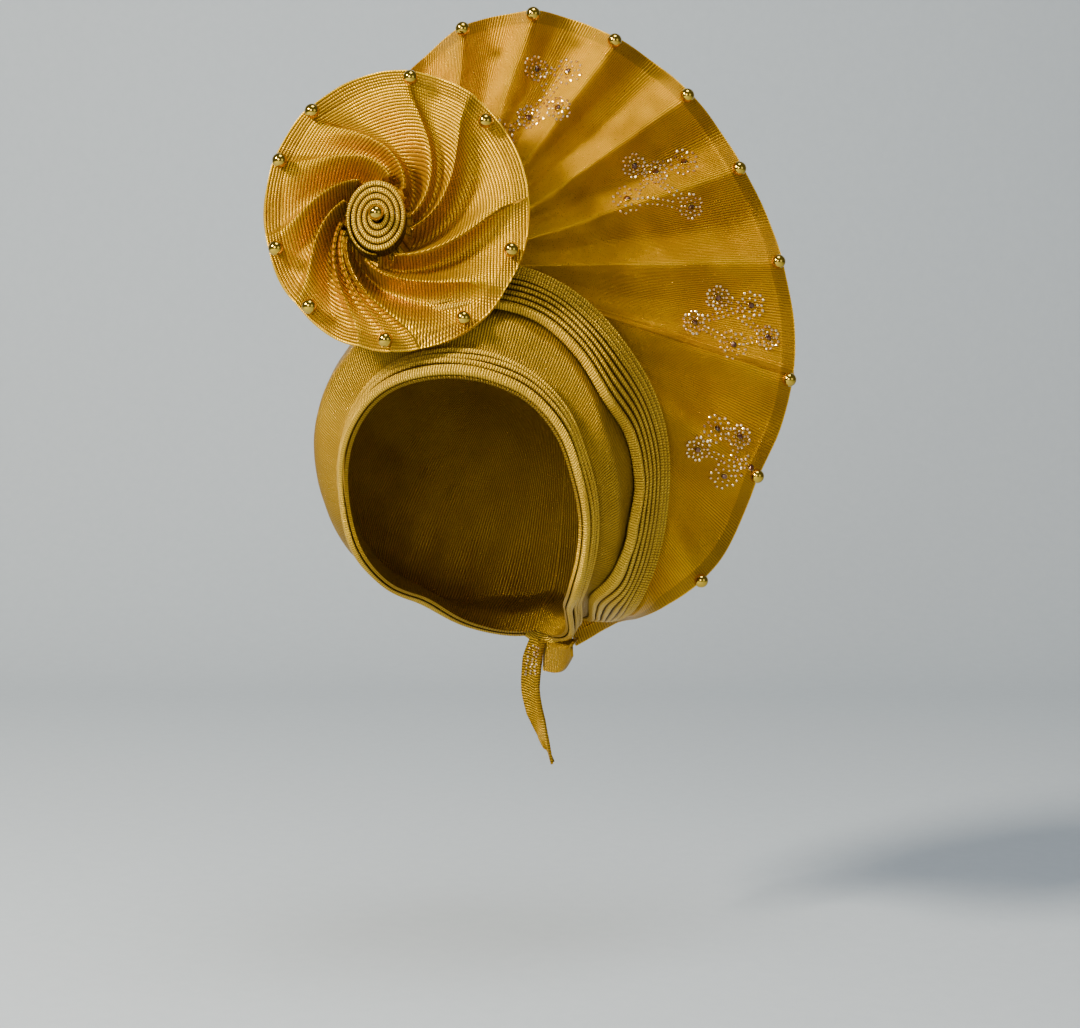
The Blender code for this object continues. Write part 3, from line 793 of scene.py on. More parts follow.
@dataclass
class CrownWrap:
    """Puffed cloth over the crown, sides and back, open below and in front."""

    form: TiedForm
    columns: int = 360
    rows: int = 128
    flat: tuple[float, float] = (0.66, 0.20)

    def relief(self, turn: Array, down: Array, rough: Array) -> Array:
        """Soft folds of the cloth: drag lines by the brow, creases at the side and gathers at the nape.

        Args:
            turn: Turn round the pole in degrees.
            down: Angle from the pole in degrees.
            rough: Points of the wrap without its folds.

        Returns:
            The heights in metres.
        """
        from_edge = np.radians(self.form.edge(turn) - down) * self.form.radius - self.form.band(turn)
        free = eased(from_edge / 0.012) * eased((down - 4) / 10)
        behind = eased((np.abs(turn) - 95) / 50)
        gather = np.sin(np.radians(turn) * 26 + 2.2 * np.sin(np.radians(down) * 3)) * behind
        gather *= eased((down - 30) / 50)
        puff = hump(turn, -75, 40) * np.sin(from_edge * 150 + np.radians(turn) * 3)
        crease = hump(down - 0.42 * turn, 66.0, 1.3) * hump(turn, 88, 14)
        second = hump(down + 0.12 * turn, 84.0, 1.1) * hump(turn, 24, 15)
        height = 0.9 * gather + 0.5 * puff + 0.55 * ripple(rough, 0.060, 3) + 0.25 * ripple(rough, 0.022, 5)
        return MM * free * (height - 0.9 * crease - 0.8 * second)

    def build(self, cloth: bpy.types.Material) -> None:
        """Builds and dresses the wrap.

        Args:
            cloth: Finish of the cloth.
        """
        form = self.form
        turn = np.linspace(-180, 180, self.columns + 1)[None, :]
        fall = np.linspace(0, 1, self.rows + 1)[:, None]
        down = form.edge(turn) * (1 - fall)
        turn = np.broadcast_to(turn, down.shape)
        rough = form.point(turn, down)
        points = form.point(turn, down, self.relief(turn, down, rough))
        points[:, -1] = points[:, 0]
        points[-1] = points[-1, 0]
        panel = int(0.25 * self.rows)
        around = np.broadcast_to(along_rows(points)[panel][None, :], down.shape)
        inward = along_rows(points.transpose(1, 0, 2)).T
        weave = np.stack([around + 0.10 * inward * np.sin(np.radians(turn)), inward], axis=-1)
        plain = np.stack([np.ones_like(down), eased((down - 14) / 22)], axis=-1)
        piece = woven_mesh("wrap_cloth", points, weave, plain, closed=True)
        tidy_mesh(piece)
        finish_piece(piece, cloth, Slot.CLOTH, ["crown_wrap"], wall=form.cloth)


@dataclass
class BrowPleats:
    """Narrow folds side by side that frame the face, with the share of the band where each begins."""

    form: TiedForm
    rise: float = 0.0038
    stations: int = 620
    turned: float = 352.0
    shares: Sequence[float] = (0.0, 0.34, 0.57, 0.79, 1.0)

    def build(self, cloth: bpy.types.Material) -> None:
        """Builds and dresses each fold.

        Args:
            cloth: Finish of the cloth.
        """
        form = self.form
        lip = np.linspace(0, 1, 9)
        crest = (0.55 + 0.45 * lip) * (1 - (2 * lip - 1) ** 6) ** 0.5 + 0.04
        over, high = ring_section([[0.05], 0.07 + 0.83 * lip, [0.93]], [[0.0], crest, [0.0]])
        turn = np.linspace(-0.5, 0.5, self.stations)[:, None] * self.turned
        for k in range(form.brow_pleats):
            sway = 0.016 * np.sin(np.radians(turn) * 5 + k * 1.9) + 0.008 * np.sin(np.radians(turn) * 13 + k)
            first = self.shares[k] + (sway if k else 0.0)
            wide = self.shares[k + 1] - self.shares[k]
            place = np.clip(first + wide * over[None, :], 0.0, 0.99)
            down = form.edge(turn) - np.degrees(place * form.band(turn) / form.radius)
            tall = self.rise * (1 - 0.12 * k) * (1 + 0.10 * np.sin(np.radians(turn) * 7 + k * 2.3))
            points = form.point(np.broadcast_to(turn, down.shape), down, form.seat_gap + tall * high[None, :])
            lies_open = over < 0.4 if k == 0 else over > 0.6 if k == form.brow_pleats - 1 else None
            # Painted shade down the fold's sides, on an open side only near its foot
            depth = fold_depth(tall, high, lies_open)
            fold_piece(f"brow_fold_{k + 1}", f"brow_pleat_{k + 1}", points, cloth, depth=depth, sharp=75)


@dataclass
class SidePleats:
    """Bundle of thin standing pleats from under the rosette to the nape."""

    form: TiedForm
    pleats: int = 8
    first_double: int = 5
    stations: int = 460

    def section(self, double: bool) -> tuple[Array, Array]:
        """Shares over and up of a pleat's section, with one rounded edge or two.

        Args:
            double: Two rounded edges side by side.

        Returns:
            The shares, closed to a ring.
        """
        bow = np.linspace(0, math.pi, 8)
        if double:
            aside, round_top = 0.165 * np.cos(bow), 0.16 * np.sin(bow)
            over = [[0.08], 0.26 - aside, [0.50], 0.74 - aside, [0.93]]
            return ring_section(over, [[0.0], 0.80 + round_top, [0.45], 0.86 + round_top, [0.0]])
        over = [[0.10], 0.5 - 0.38 * np.cos(bow), [0.90]]
        return ring_section(over, [[0.0], 0.80 + 0.20 * np.sin(bow), [0.0]])

    def build(self, cloth: bpy.types.Material) -> None:
        """Builds and dresses each pleat.

        Args:
            cloth: Finish of the cloth.
        """
        form = self.form
        turn = np.linspace(form.bundle[0][0], form.bundle[-1][0], self.stations)[:, None]
        for k in range(self.pleats):
            over, high = self.section(double=k >= self.first_double)
            # The first pleats are kinked by the temple
            kink = 0.55 * hump(turn, 96, 2.2) - 0.6 * hump(turn, 103, 2.6) + 0.5 * hump(turn, 110, 2.4)
            sway = kink * math.exp(-k / 1.4) + 0.07 * np.sin(np.radians(turn) * 9 + k)
            step = (k + over[None, :] + np.clip(sway, -0.35, 0.30)) / self.pleats
            rise = form.bundle_rise(turn, (k + 0.5) / self.pleats)
            turns = np.broadcast_to(turn, step.shape)
            points = form.point(turns, form.bundle_place(turn, step), form.seat_gap + rise * high[None, :])
            # Painted shade down the pleat's sides, on the first pleat's open side only near its foot
            depth = fold_depth(rise, high, over < 0.4 if k == 0 else None)
            fold_piece(f"side_fold_{k + 1}", f"side_pleat_{k + 1}", points, cloth, depth=depth, sharp=70)


@dataclass
class Fan:
    """Accordion-pleated sheet gathered round a heart behind the rosette."""

    form: TiedForm
    reach: float = 0.242
    heart_across: float = -0.025
    heart_up: float = 0.119
    heart_radius: float = 0.030
    heart_out: float = 0.030
    lean: float = 0.042
    relief_height: float = 0.0075
    bulge: float = 0.013
    valley: float = 0.55
    tuck: float = 0.008
    root_end: float = 159.0
    root_lift: tuple[float, float] = (123.0, 14.0)
    cloth: float = 0.0016
    side_pleats: int = 8
    hem_edge: float = 8.8 * MM
    per_pleat: int = 38
    rows: int = 100
    flat: tuple[float, float] = (0.50, 0.14)
    # Columns: angle round the heart in degrees, reach share, lean share
    ridges: Rows = (
        (-50.7, 0.995, 0.45), (-33.6, 0.920, 0.60), (-17.8, 0.889, 0.70),
        (1.3, 0.821, 0.85), (18.9, 0.766, 0.95), (35.7, 0.734, 1.00),
        (53.5, 0.700, 1.00), (71.1, 0.664, 1.00), (86.1, 0.594, 1.00),
    )
    edges: Rows = ((-71.5, 1.010, 0.10), (-60.3, 0.985, 0.28), (104.0, 0.470, 1.00))

    def __post_init__(self) -> None:
        """Finds the inner edge's places on the wrap."""
        self.rim_rows = sorted((*self.ridges, *self.edges))
        form = self.form
        turn = np.linspace(form.bundle[0][0], self.root_end, 240)
        over = eased((turn - self.root_lift[0]) / self.root_lift[1])
        lift = form.seat_gap + (form.bundle_rise(turn, 1.0) + 2 * form.seat_gap) * over
        path = form.point(turn, form.bundle_place(turn, 1.0 + 0.6 / self.side_pleats), lift)
        across, up = path @ ACROSS - self.heart_across, path[:, 2] - self.heart_up
        reach = np.hypot(across, up)
        used = (reach > self.heart_radius) & (across > 0)
        angle = np.degrees(np.arctan2(up, across))[used]
        order = np.argsort(angle)
        self.root_angle, self.root_reach = angle[order], reach[used][order]
        self.root_out = (path @ OUT)[used][order]

    def root(self, angle: Array) -> tuple[Array, Array]:
        """Reach and depth of the inner edge at angles round the heart.

        Args:
            angle: Angles round the heart in degrees.

        Returns:
            The reaches and the depths.
        """
        blend = eased((angle - self.root_angle[-1]) / 30)
        reach = np.interp(angle, self.root_angle, self.root_reach)
        out = np.interp(angle, self.root_angle, self.root_out)
        return reach + (self.heart_radius - reach) * blend, out + (self.heart_out - out) * blend

    def fold(self, angle: Array) -> Array:
        """Height of the pleats, 1 on a rounded ridge and -1 in the valley between two.

        Args:
            angle: Angles round the heart in degrees.

        Returns:
            The heights from -1 to 1.
        """
        ridges = [row[0] for row in self.ridges]
        pitch = (ridges[-1] - ridges[0]) / (len(ridges) - 1)
        steps = [ridges[0] - pitch, *ridges, ridges[-1] + pitch]
        phase = np.interp(angle, steps, range(len(steps))) % 1.0
        round_off, power = 0.14, 0.62
        low, high = round_off ** (2 * power), (1 + round_off ** 2) ** power
        depth = (np.sin(math.pi * phase) ** 2 + round_off ** 2) ** power
        return 1 - 2 * (depth - low) / (high - low)

    def rim(self, angle: Array) -> Array:
        """Reach of the rim, which bulges a little between two ridges."""
        return self.reach * curve(self.rim_rows, 1, angle) * (1 + self.bulge * (1 - self.fold(angle)) / 2)

    def surface(self, angle: Array, share: Array) -> Array:
        """Points of the fan's face side, with the slack of its cloth.

        Args:
            angle: Angles round the heart in degrees.
            share: Shares from the inner edge to the rim.

        Returns:
            The points.
        """
        angle, share = np.broadcast_arrays(angle, share)
        root_reach, root_out = self.root(angle)
        rim = self.rim(angle)
        fold = self.fold(angle)
        rim_out = root_out - self.lean * curve(self.rim_rows, 2, angle)
        reach = root_reach + (rim - root_reach) * share
        room = np.minimum(1.0, (rim - root_reach) / self.heart_radius)
        grown = np.clip(share, 0.0, 1.0)
        deep = self.relief_height * np.minimum(1.0, 0.25 + 1.2 * grown) * room
        sunk = fold - self.valley * (1 - fold) / 2
        out = root_out + (rim_out - root_out) * grown + deep * grown ** 0.4 * sunk
        turned = np.radians(angle)
        across = self.heart_across + reach * np.cos(turned)
        up = self.heart_up + reach * np.sin(turned)
        rough = as_seen(across, up, out * 0)
        slack = 0.8 * ripple(rough, 0.050, 11) + 0.3 * ripple(rough, 0.018, 12)
        flutter = 0.9 * np.sin(turned * 37) * grown ** 3
        flutter = flutter + 1.1 * np.sin(turned * 64 + 2 * slack) * (grown * (1 - grown)) ** 0.7
        hem = hem_step(rim - reach, self.hem_edge)
        return as_seen(across, up, out + MM * (room * eased(share * 3) * (slack + flutter) + hem))

    def build(self, cloth: bpy.types.Material) -> None:
        """Builds and dresses the fan.

        Args:
            cloth: Finish of the cloth.
        """
        angle = between([row[0] for row in self.rim_rows], self.per_pleat)[:, None]
        tucked = -self.tuck * eased((-46.0 - angle) / 8.0) / (self.rim(angle) - self.root(angle)[0])
        share = tucked + (1 - tucked) * (np.linspace(0, 1, self.rows + 1) ** 0.9)[None, :]
        points = self.surface(angle, share)
        rim_line = along_rows(points[:, -6:-5].transpose(1, 0, 2))[0]
        length = along_rows(points)
        weave = np.stack([np.broadcast_to(rim_line[:, None], length.shape), length], axis=-1)
        # The distance from the rim sets the hem's darker band and the painted highlight along the rim
        piece = woven_mesh("fan_cloth", points, weave, length[:, -1:] - length)
        finish_piece(piece, cloth, Slot.CLOTH, ["fan"], wall=self.cloth)


@dataclass
class Rosette:
    """Round, swirled and pleated disc with a wound coil, on a twisted stalk."""

    form: TiedForm
    half_width: float = 0.0745
    half_height: float = 0.0830
    across: float = -0.0505
    up: float = 0.150
    lean: float = math.radians(15.0)
    relief_height: float = 0.0180
    swirl: float = math.radians(74.0)
    swirl_power: float = 2.2
    fold_lean: float = 0.65
    tuck: float = 0.72
    coil_half_width: float = 0.0185
    coil_half_height: float = 0.0240
    coil_across: float = -0.0105
    coil_up: float = -0.0065
    coil_turns: float = 5.25
    coil_core: float = 0.0030
    coil_depth: float = 0.0110
    coil_layer: float = 0.47
    wall_rows: int = 6
    floor_rows: int = 4
    fit_gap: float = 0.0006
    hem_edge: float = 8.5 * MM
    stalk_radius: float = 0.0110
    stalk_bend: float = 0.022
    foot: tuple[float, float] = (-10.0, 52.0)
    cloth: float = 0.0014
    flat: tuple[float, float] = (0.50, 0.060)
    ridges: Sequence[float] = (-170.5, -133.8, -97.7, -83.4, -72.8, -30.0, 8.7, 55.0, 79.0, 122.9, 148.0)
    shift: Array | None = None

    @property
    def coil_floor(self) -> float:
        """Height of the coil's underside in the rosette's own frame."""
        return 0.3 * self.relief_height - self.coil_depth

    @property
    def turned(self) -> Array:
        """Rows that turn the rosette's own X, Y and Z into the frame's.

        Returns:
            The three rows.
        """
        up = UP * math.cos(self.lean) - OUT * math.sin(self.lean)
        face = OUT * math.cos(self.lean) + UP * math.sin(self.lean)
        return np.stack([ACROSS, up, face])

    def placed(self, local: Array) -> Array:
        """Points of the rosette's own frame where the rosette sits.

        Args:
            local: Points in the rosette's own frame.

        Returns:
            The points in the frame of the model.
        """
        spot = as_seen(self.across, self.up, 0.0)
        moved = np.zeros(3) if self.shift is None else self.shift
        return local @ self.turned + spot + moved

    def fold(self, angle: Array) -> Array:
        """Depth of the hollows between the ridges, 0 on a ridge.

        Args:
            angle: Angles at the rim in degrees.

        Returns:
            The depths, below 0 in a hollow.
        """
        ridges = np.array([*self.ridges, self.ridges[0] + 360])
        angle = (angle - ridges[0]) % 360 + ridges[0]
        k = np.clip(np.searchsorted(ridges, angle, side="right") - 1, 0, len(self.ridges) - 1)
        width = ridges[k + 1] - ridges[k]
        part = (angle - ridges[k]) / width
        depth = 1.2 * (np.sqrt(np.sin(math.pi * (1 - part) ** self.fold_lean) ** 2 + 0.035) - 0.187)
        return -np.minimum(1.15, width / 38) * depth

    def local(self, angle: Array, share: Array) -> tuple[Array, Array, Array]:
        """Points of the face side in the rosette's own frame.

        Args:
            angle: Angles at the rim in degrees.
            share: Shares from the coil to the rim.

        Returns:
            The points, their distances from the rim and the directions from the coil in radians.
        """
        angle, share = np.broadcast_arrays(angle, share)
        turned = np.radians(angle) - self.swirl * (1 - share) ** self.swirl_power
        x, y = np.cos(turned), np.sin(turned)
        squash = self.half_height / self.half_width
        ray = np.stack([x, y / squash], axis=-1)
        offset = -np.array([self.coil_across, self.coil_up / squash])
        long = (ray ** 2).sum(-1)
        on = ray @ offset / long
        rim = on + np.sqrt(on * on + (self.half_width ** 2 - offset @ offset) / long)
        grow = 1 + 2 * self.fit_gap / self.coil_half_width
        coil = grow / np.hypot(x / self.coil_half_width, y / self.coil_half_height)
        reach = coil + (rim - coil) * share
        depth = self.relief_height * (0.18 + 0.82 * (1 - share) ** 0.8)
        height = depth * self.fold(angle) + 0.3 * self.relief_height * (1 - share)
        points = np.stack([self.coil_across + reach * x, self.coil_up + reach * y, height], axis=-1)
        return points, rim - reach, turned

    def build_disc(self, cloth: bpy.types.Material) -> None:
        """Builds and dresses the swirled disc.

        Args:
            cloth: Finish of the cloth.
        """
        angle = between([*self.ridges, self.ridges[0] + 360], 40)[None, :]
        share = (np.linspace(0, 1, 96) ** 1.6)[:, None]
        points, inward, turned = self.local(angle, share)
        slack = 0.5 * ripple(points, 0.040, 21) + 0.22 * ripple(points, 0.015, 22)
        points[..., 2] += MM * (slack * eased(share * 4) + hem_step(inward, self.hem_edge))
        # The cloth turns down round the coil and runs in under it
        under = self.coil_floor - 2 * self.fit_gap
        wall = np.stack([points[0]] * self.wall_rows)
        steps = np.linspace(1, 0, self.wall_rows)[:, None]
        wall[..., 2] += (np.minimum(wall[..., 2], under) - wall[..., 2]) * steps
        centre = np.array([self.coil_across, self.coil_up])
        floor, steps = np.stack([wall[0]] * self.floor_rows), np.linspace(0, 1, self.floor_rows)[:, None]
        inset = (self.tuck + (0.97 - self.tuck) * steps)[..., None]
        floor[..., :2] = centre + (floor[..., :2] - centre) * inset
        floor[..., 2] = under + (floor[..., 2] - under) * steps
        points = np.concatenate([floor, wall[:-1], points])
        added = self.floor_rows + self.wall_rows - 1
        inward, turned = (np.concatenate([np.stack([grid[0]] * added), grid]) for grid in (inward, turned))
        points[:, -1] = points[:, 0]
        self.shift = shift_to_node(self.placed(points), "rosette", OUT)
        # Between these ridges the ribs stand upright, and elsewhere they follow the rim
        upright = (angle > self.ridges[4]) & (angle < self.ridges[6])
        ribs = np.where(upright, 0.058 - points[..., 0], inward)
        weave = np.stack([ribs, turned * 0.05], axis=-1)
        # The distance from the rim sets the hem's darker band and the painted highlight along the rim
        piece = woven_mesh("rosette_cloth", self.placed(points), weave, inward, closed=True, flipped=True)
        tidy_mesh(piece)
        finish_piece(piece, cloth, Slot.CLOTH, ["rosette"], wall=self.cloth)

    def build_coil(self, cloth: bpy.types.Material) -> None:
        """Builds and dresses the wound centre.

        Args:
            cloth: Finish of the cloth.
        """
        bow = np.linspace(0, math.pi, 9)
        over = [[-self.coil_layer], -self.coil_layer * np.cos(bow), [self.coil_layer]]
        over, high = ring_section(over, [[0.0], 0.82 + 0.18 * np.sin(bow), [0.0]])
        part = np.linspace(0, 1, 900)[:, None]
        pitch = (self.coil_half_height - self.coil_core) / self.coil_turns
        wound = 2 * math.pi * (self.coil_turns - 0.5) * part
        taper = np.minimum(1.0, 12 * (1 - part) + 0.15)
        radius = self.coil_core + pitch * (wound / (2 * math.pi) + over[None, :] * taper)
        across = self.coil_across + self.coil_half_width / self.coil_half_height * radius * np.cos(wound)
        lift = self.coil_floor + self.coil_depth * high[None, :] * (1.18 - 0.18 * part)
        points = self.placed(np.stack([across, self.coil_up + radius * np.sin(wound), lift], axis=-1))
        # Painted shade down the sides of the coil's turns
        depth = fold_depth(self.coil_depth, high) * np.ones_like(part)
        fold_piece("rosette_coil_strip", "rosette_coil", points, cloth, depth=depth, sharp=75)

    def build_stalk(self, cloth: bpy.types.Material) -> None:
        """Builds and dresses the twisted cloth that carries the rosette.

        Args:
            cloth: Finish of the cloth.
        """
        low, high = (np.array(corner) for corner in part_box("rosette_stalk"))
        start = self.placed(np.array([self.coil_across, self.coil_up, self.coil_floor - self.fit_gap]))
        way = self.form.direction(*(np.array(angle) for angle in self.foot))
        foot = self.form.point(*self.foot, self.fit_gap)
        rods = [start, start - self.turned[2] * self.stalk_bend, foot + way * self.stalk_bend, foot]
        part = np.linspace(0, 1, 90)[:, None]
        # A curve that leaves the coil and meets the wrap squarely
        middle = (1 - part) ** 3 * rods[0] + 3 * part * (1 - part) ** 2 * rods[1]
        middle = middle + 3 * part ** 2 * (1 - part) * rods[2] + part ** 3 * rods[3]
        heading = np.gradient(middle, axis=0)
        side = np.cross(heading, ACROSS)
        side /= np.linalg.norm(side, axis=1, keepdims=True)
        other = np.cross(heading, side)
        other /= np.linalg.norm(other, axis=1, keepdims=True)
        turn = np.linspace(0, 2 * math.pi, 49)[None, :]
        ring = self.stalk_radius * (1 - 0.25 * np.sin(math.pi * part))
        ring = ring * (1 - 0.13 * np.abs(np.sin(2.5 * (turn + 2.6 * part))))
        points = middle[:, None] + side[:, None] * (ring * np.cos(turn))[..., None]
        points = points + other[:, None] * (ring * np.sin(turn))[..., None]
        points = np.clip(points, low - 0.002, high + 0.002)
        length = along_rows(points.transpose(1, 0, 2)).T
        weave = np.stack([along_rows(points) + 0.3 * length, length], axis=-1)
        fold_piece("stalk_twist", "rosette_stalk", points, cloth, weave)


@dataclass
class NapeTie:
    """Knot, flap and free end at the nape."""

    form: TiedForm
    brow_pleat_rise: float = 0.0038
    knot_width: float = 0.028
    knot_height: float = 0.024
    knot_thickness: float = 0.009
    knot_seat: float = 0.008
    flap_length: float = 0.019
    flap_width: float = 0.024
    flap_start: float = 0.0015
    flap_hold: float = 0.006
    flap_flat: tuple[float, float] = (0.030, 0.030)
    strap_length: float = 0.076
    strap_width: float = 0.0100
    strap_cloth: float = 0.0016
    strap_flat: tuple[float, float] = (0.011, 0.080)
    crystal_rows: int = 9
    crystal_sizes: tuple[float, float] = (0.0006, 0.0010)
    # Columns: drop share, sideways share of the length, width share
    strap_run: Rows = (
        (0.00, 0.000, 0.75), (0.18, -0.035, 1.00), (0.42, -0.050, 0.85), (0.66, -0.010, 1.00),
        (0.82, 0.040, 0.72), (0.92, 0.078, 0.48), (1.00, 0.110, 0.26),
    )

    def point(self, across: Any, down: Any, lift: Any) -> Array:
        """Points near the nape: across from its middle, down from the wrap's edge, lifted off the wrap.

        Args:
            across: Distances from the middle of the nape.
            down: Distances below the wrap's edge.
            lift: Heights over the wrap.

        Returns:
            The points.
        """
        across, down, lift = np.broadcast_arrays(across, down, lift)
        turn = 180 - np.degrees(across / self.form.radius)
        edge = self.form.edge(turn) + np.degrees(np.minimum(0.0, down) / self.form.radius)
        spot = self.form.point(turn, edge, lift)
        spot[..., 2] -= np.maximum(0.0, down)
        return spot

    def build_knot(self, cloth: bpy.types.Material) -> None:
        """Builds and dresses the folded band.

        Args:
            cloth: Finish of the cloth.
        """
        part = np.linspace(0, 1, 70)[:, None]
        turn = np.linspace(0, 2 * math.pi, 61)[None, :]
        full = 0.6 + 0.4 * np.sin(math.pi * part)
        down = -0.5 * self.knot_height * (1 - full * np.sin(turn))
        folds = 1 + 0.10 * np.abs(np.sin(3.5 * turn + 1.5 * part)) * (np.cos(turn) > -0.2)
        under = self.form.seat_gap + self.brow_pleat_rise * (1 - eased((-down - self.knot_seat) / 0.007))
        lift = under + 0.5 * self.knot_thickness * full * (1 + np.cos(turn)) * folds
        points = self.point(self.knot_width * (part - 0.5), down, lift)
        fold_piece("nape_knot_fold", "nape_knot", points, cloth, face_weave(points))

    def build_flap(self, cloth: bpy.types.Material) -> None:
        """Builds and dresses the small flap below the knot, a wedge that tapers towards the pleats' ends.

        Args:
            cloth: Finish of the cloth.
        """
        part, fall = np.linspace(0, 1, 50)[None, :], np.linspace(0, 1, 50)[:, None]
        across = self.flap_start + self.flap_width * part
        drop = self.flap_length * (1 - 0.62 * part ** 1.2)
        down = -self.flap_hold + (drop + self.flap_hold) * fall
        bow = 0.0012 * np.sin(math.pi * part) + 0.0005 * np.sin(9 * part + 4 * fall)
        points = self.point(across, down, self.brow_pleat_rise + 0.35 * self.knot_thickness + bow)
        piece = woven_mesh("nape_flap_cloth", points, face_weave(points), flipped=True)
        finish_piece(piece, cloth, Slot.CLOTH, ["nape_flap"], wall=self.strap_cloth)

    def strap_points(self, part: Any, fall: Any) -> Array:
        """Points of the free end's outer side, across from -0.5 to 0.5 and down from 0 to 1.

        Args:
            part: Places across, from -0.5 to 0.5.
            fall: Places down, from 0 to 1.

        Returns:
            The points.
        """
        drops, _, widths = zip(*self.strap_run)
        width = self.strap_width * np.interp(fall, drops, widths)
        across = self.strap_length * curve(self.strap_run, 1, fall) + width * part
        bow = 0.0012 * np.cos(math.pi * part) + 0.0008 * np.sin(14 * fall + 6 * part)
        lift = self.brow_pleat_rise + 0.25 * self.knot_thickness + bow
        cut = 1 - 0.05 * (0.5 - part) * fall ** 6
        return self.point(across, self.strap_length * fall * cut, lift)

    def build_strap(self, cloth: bpy.types.Material) -> list[tuple[Array, Array, float]]:
        """Builds and dresses the free end.

        Args:
            cloth: Finish of the strap.

        Returns:
            Places, normals and radii of the crystals on its inner side.
        """
        part, fall = np.linspace(-0.5, 0.5, 24)[None, :], np.linspace(0, 1, 170)[:, None]
        points = self.strap_points(part, fall)
        shift = shift_to_node(points, "tie_strap")
        points = points + shift
        piece = woven_mesh("tie_strap_cloth", points, face_weave(points)[..., ::-1])
        finish_piece(piece, cloth, Slot.CLOTH, ["tie_strap"], wall=self.strap_cloth)
        picks = np.random.default_rng(17)
        spots = []
        for row in range(self.crystal_rows):
            for column in range(3):
                side = (column - 1) * 0.26 + picks.uniform(-0.07, 0.07)
                at = 0.06 + 0.030 * row + picks.uniform(-0.008, 0.008)
                here, beside, below = self.strap_points(
                    np.array([side, side + 0.05, side]), np.array([at, at, at + 0.01])
                )
                normal = np.cross(beside - here, below - here)
                normal *= np.sign(-normal[1]) / np.linalg.norm(normal)
                spot = here + shift + normal * self.strap_cloth
                spots.append((spot, normal, float(picks.uniform(*self.crystal_sizes))))
        return spots


# ---- beads and stones


@dataclass
class Beads:
    """Round plated beads with a drilled hole."""

    radius: float = 0.0042
    hole: float = 0.16
    tip: float = math.radians(78.0)

    def build(self, nodes: Sequence[str], outward: Array, metal: bpy.types.Material) -> None:
        """Makes a bead in place of each node.

        Args:
            nodes: CAD nodes of the beads.
            outward: Direction that the beads face.
            metal: Finish of the beads.
        """
        for node in nodes:
            deselect_all()
            bpy.ops.mesh.primitive_uv_sphere_add(segments=40, ring_count=24, radius=self.radius)
            bead = bpy.context.object
            bead.name = f"gold_{node}"
            self.drill(bead)
            turn = Vector((0, 0, 1)).rotation_difference(Vector(outward))
            tip = Matrix.Rotation(self.tip, 4, Vector(ACROSS))
            move = Matrix.Translation(Vector(node_middle(node))) @ tip @ turn.to_matrix().to_4x4()
            bead.data.transform(move)
            bead.data.update()
            finish_piece(bead, metal, Slot.BEAD, [node])

    def drill(self, bead: bpy.types.Object) -> None:
        """Sinks the mouth of the bead's hole at both poles.

        Args:
            bead: A bead at the origin, its poles up and down.
        """
        mouth = self.hole * self.radius
        for vertex in bead.data.vertices:
            off = math.hypot(vertex.co.x, vertex.co.y)
            if off < mouth:
                vertex.co.z -= math.copysign(0.5 * (mouth - off), vertex.co.z)


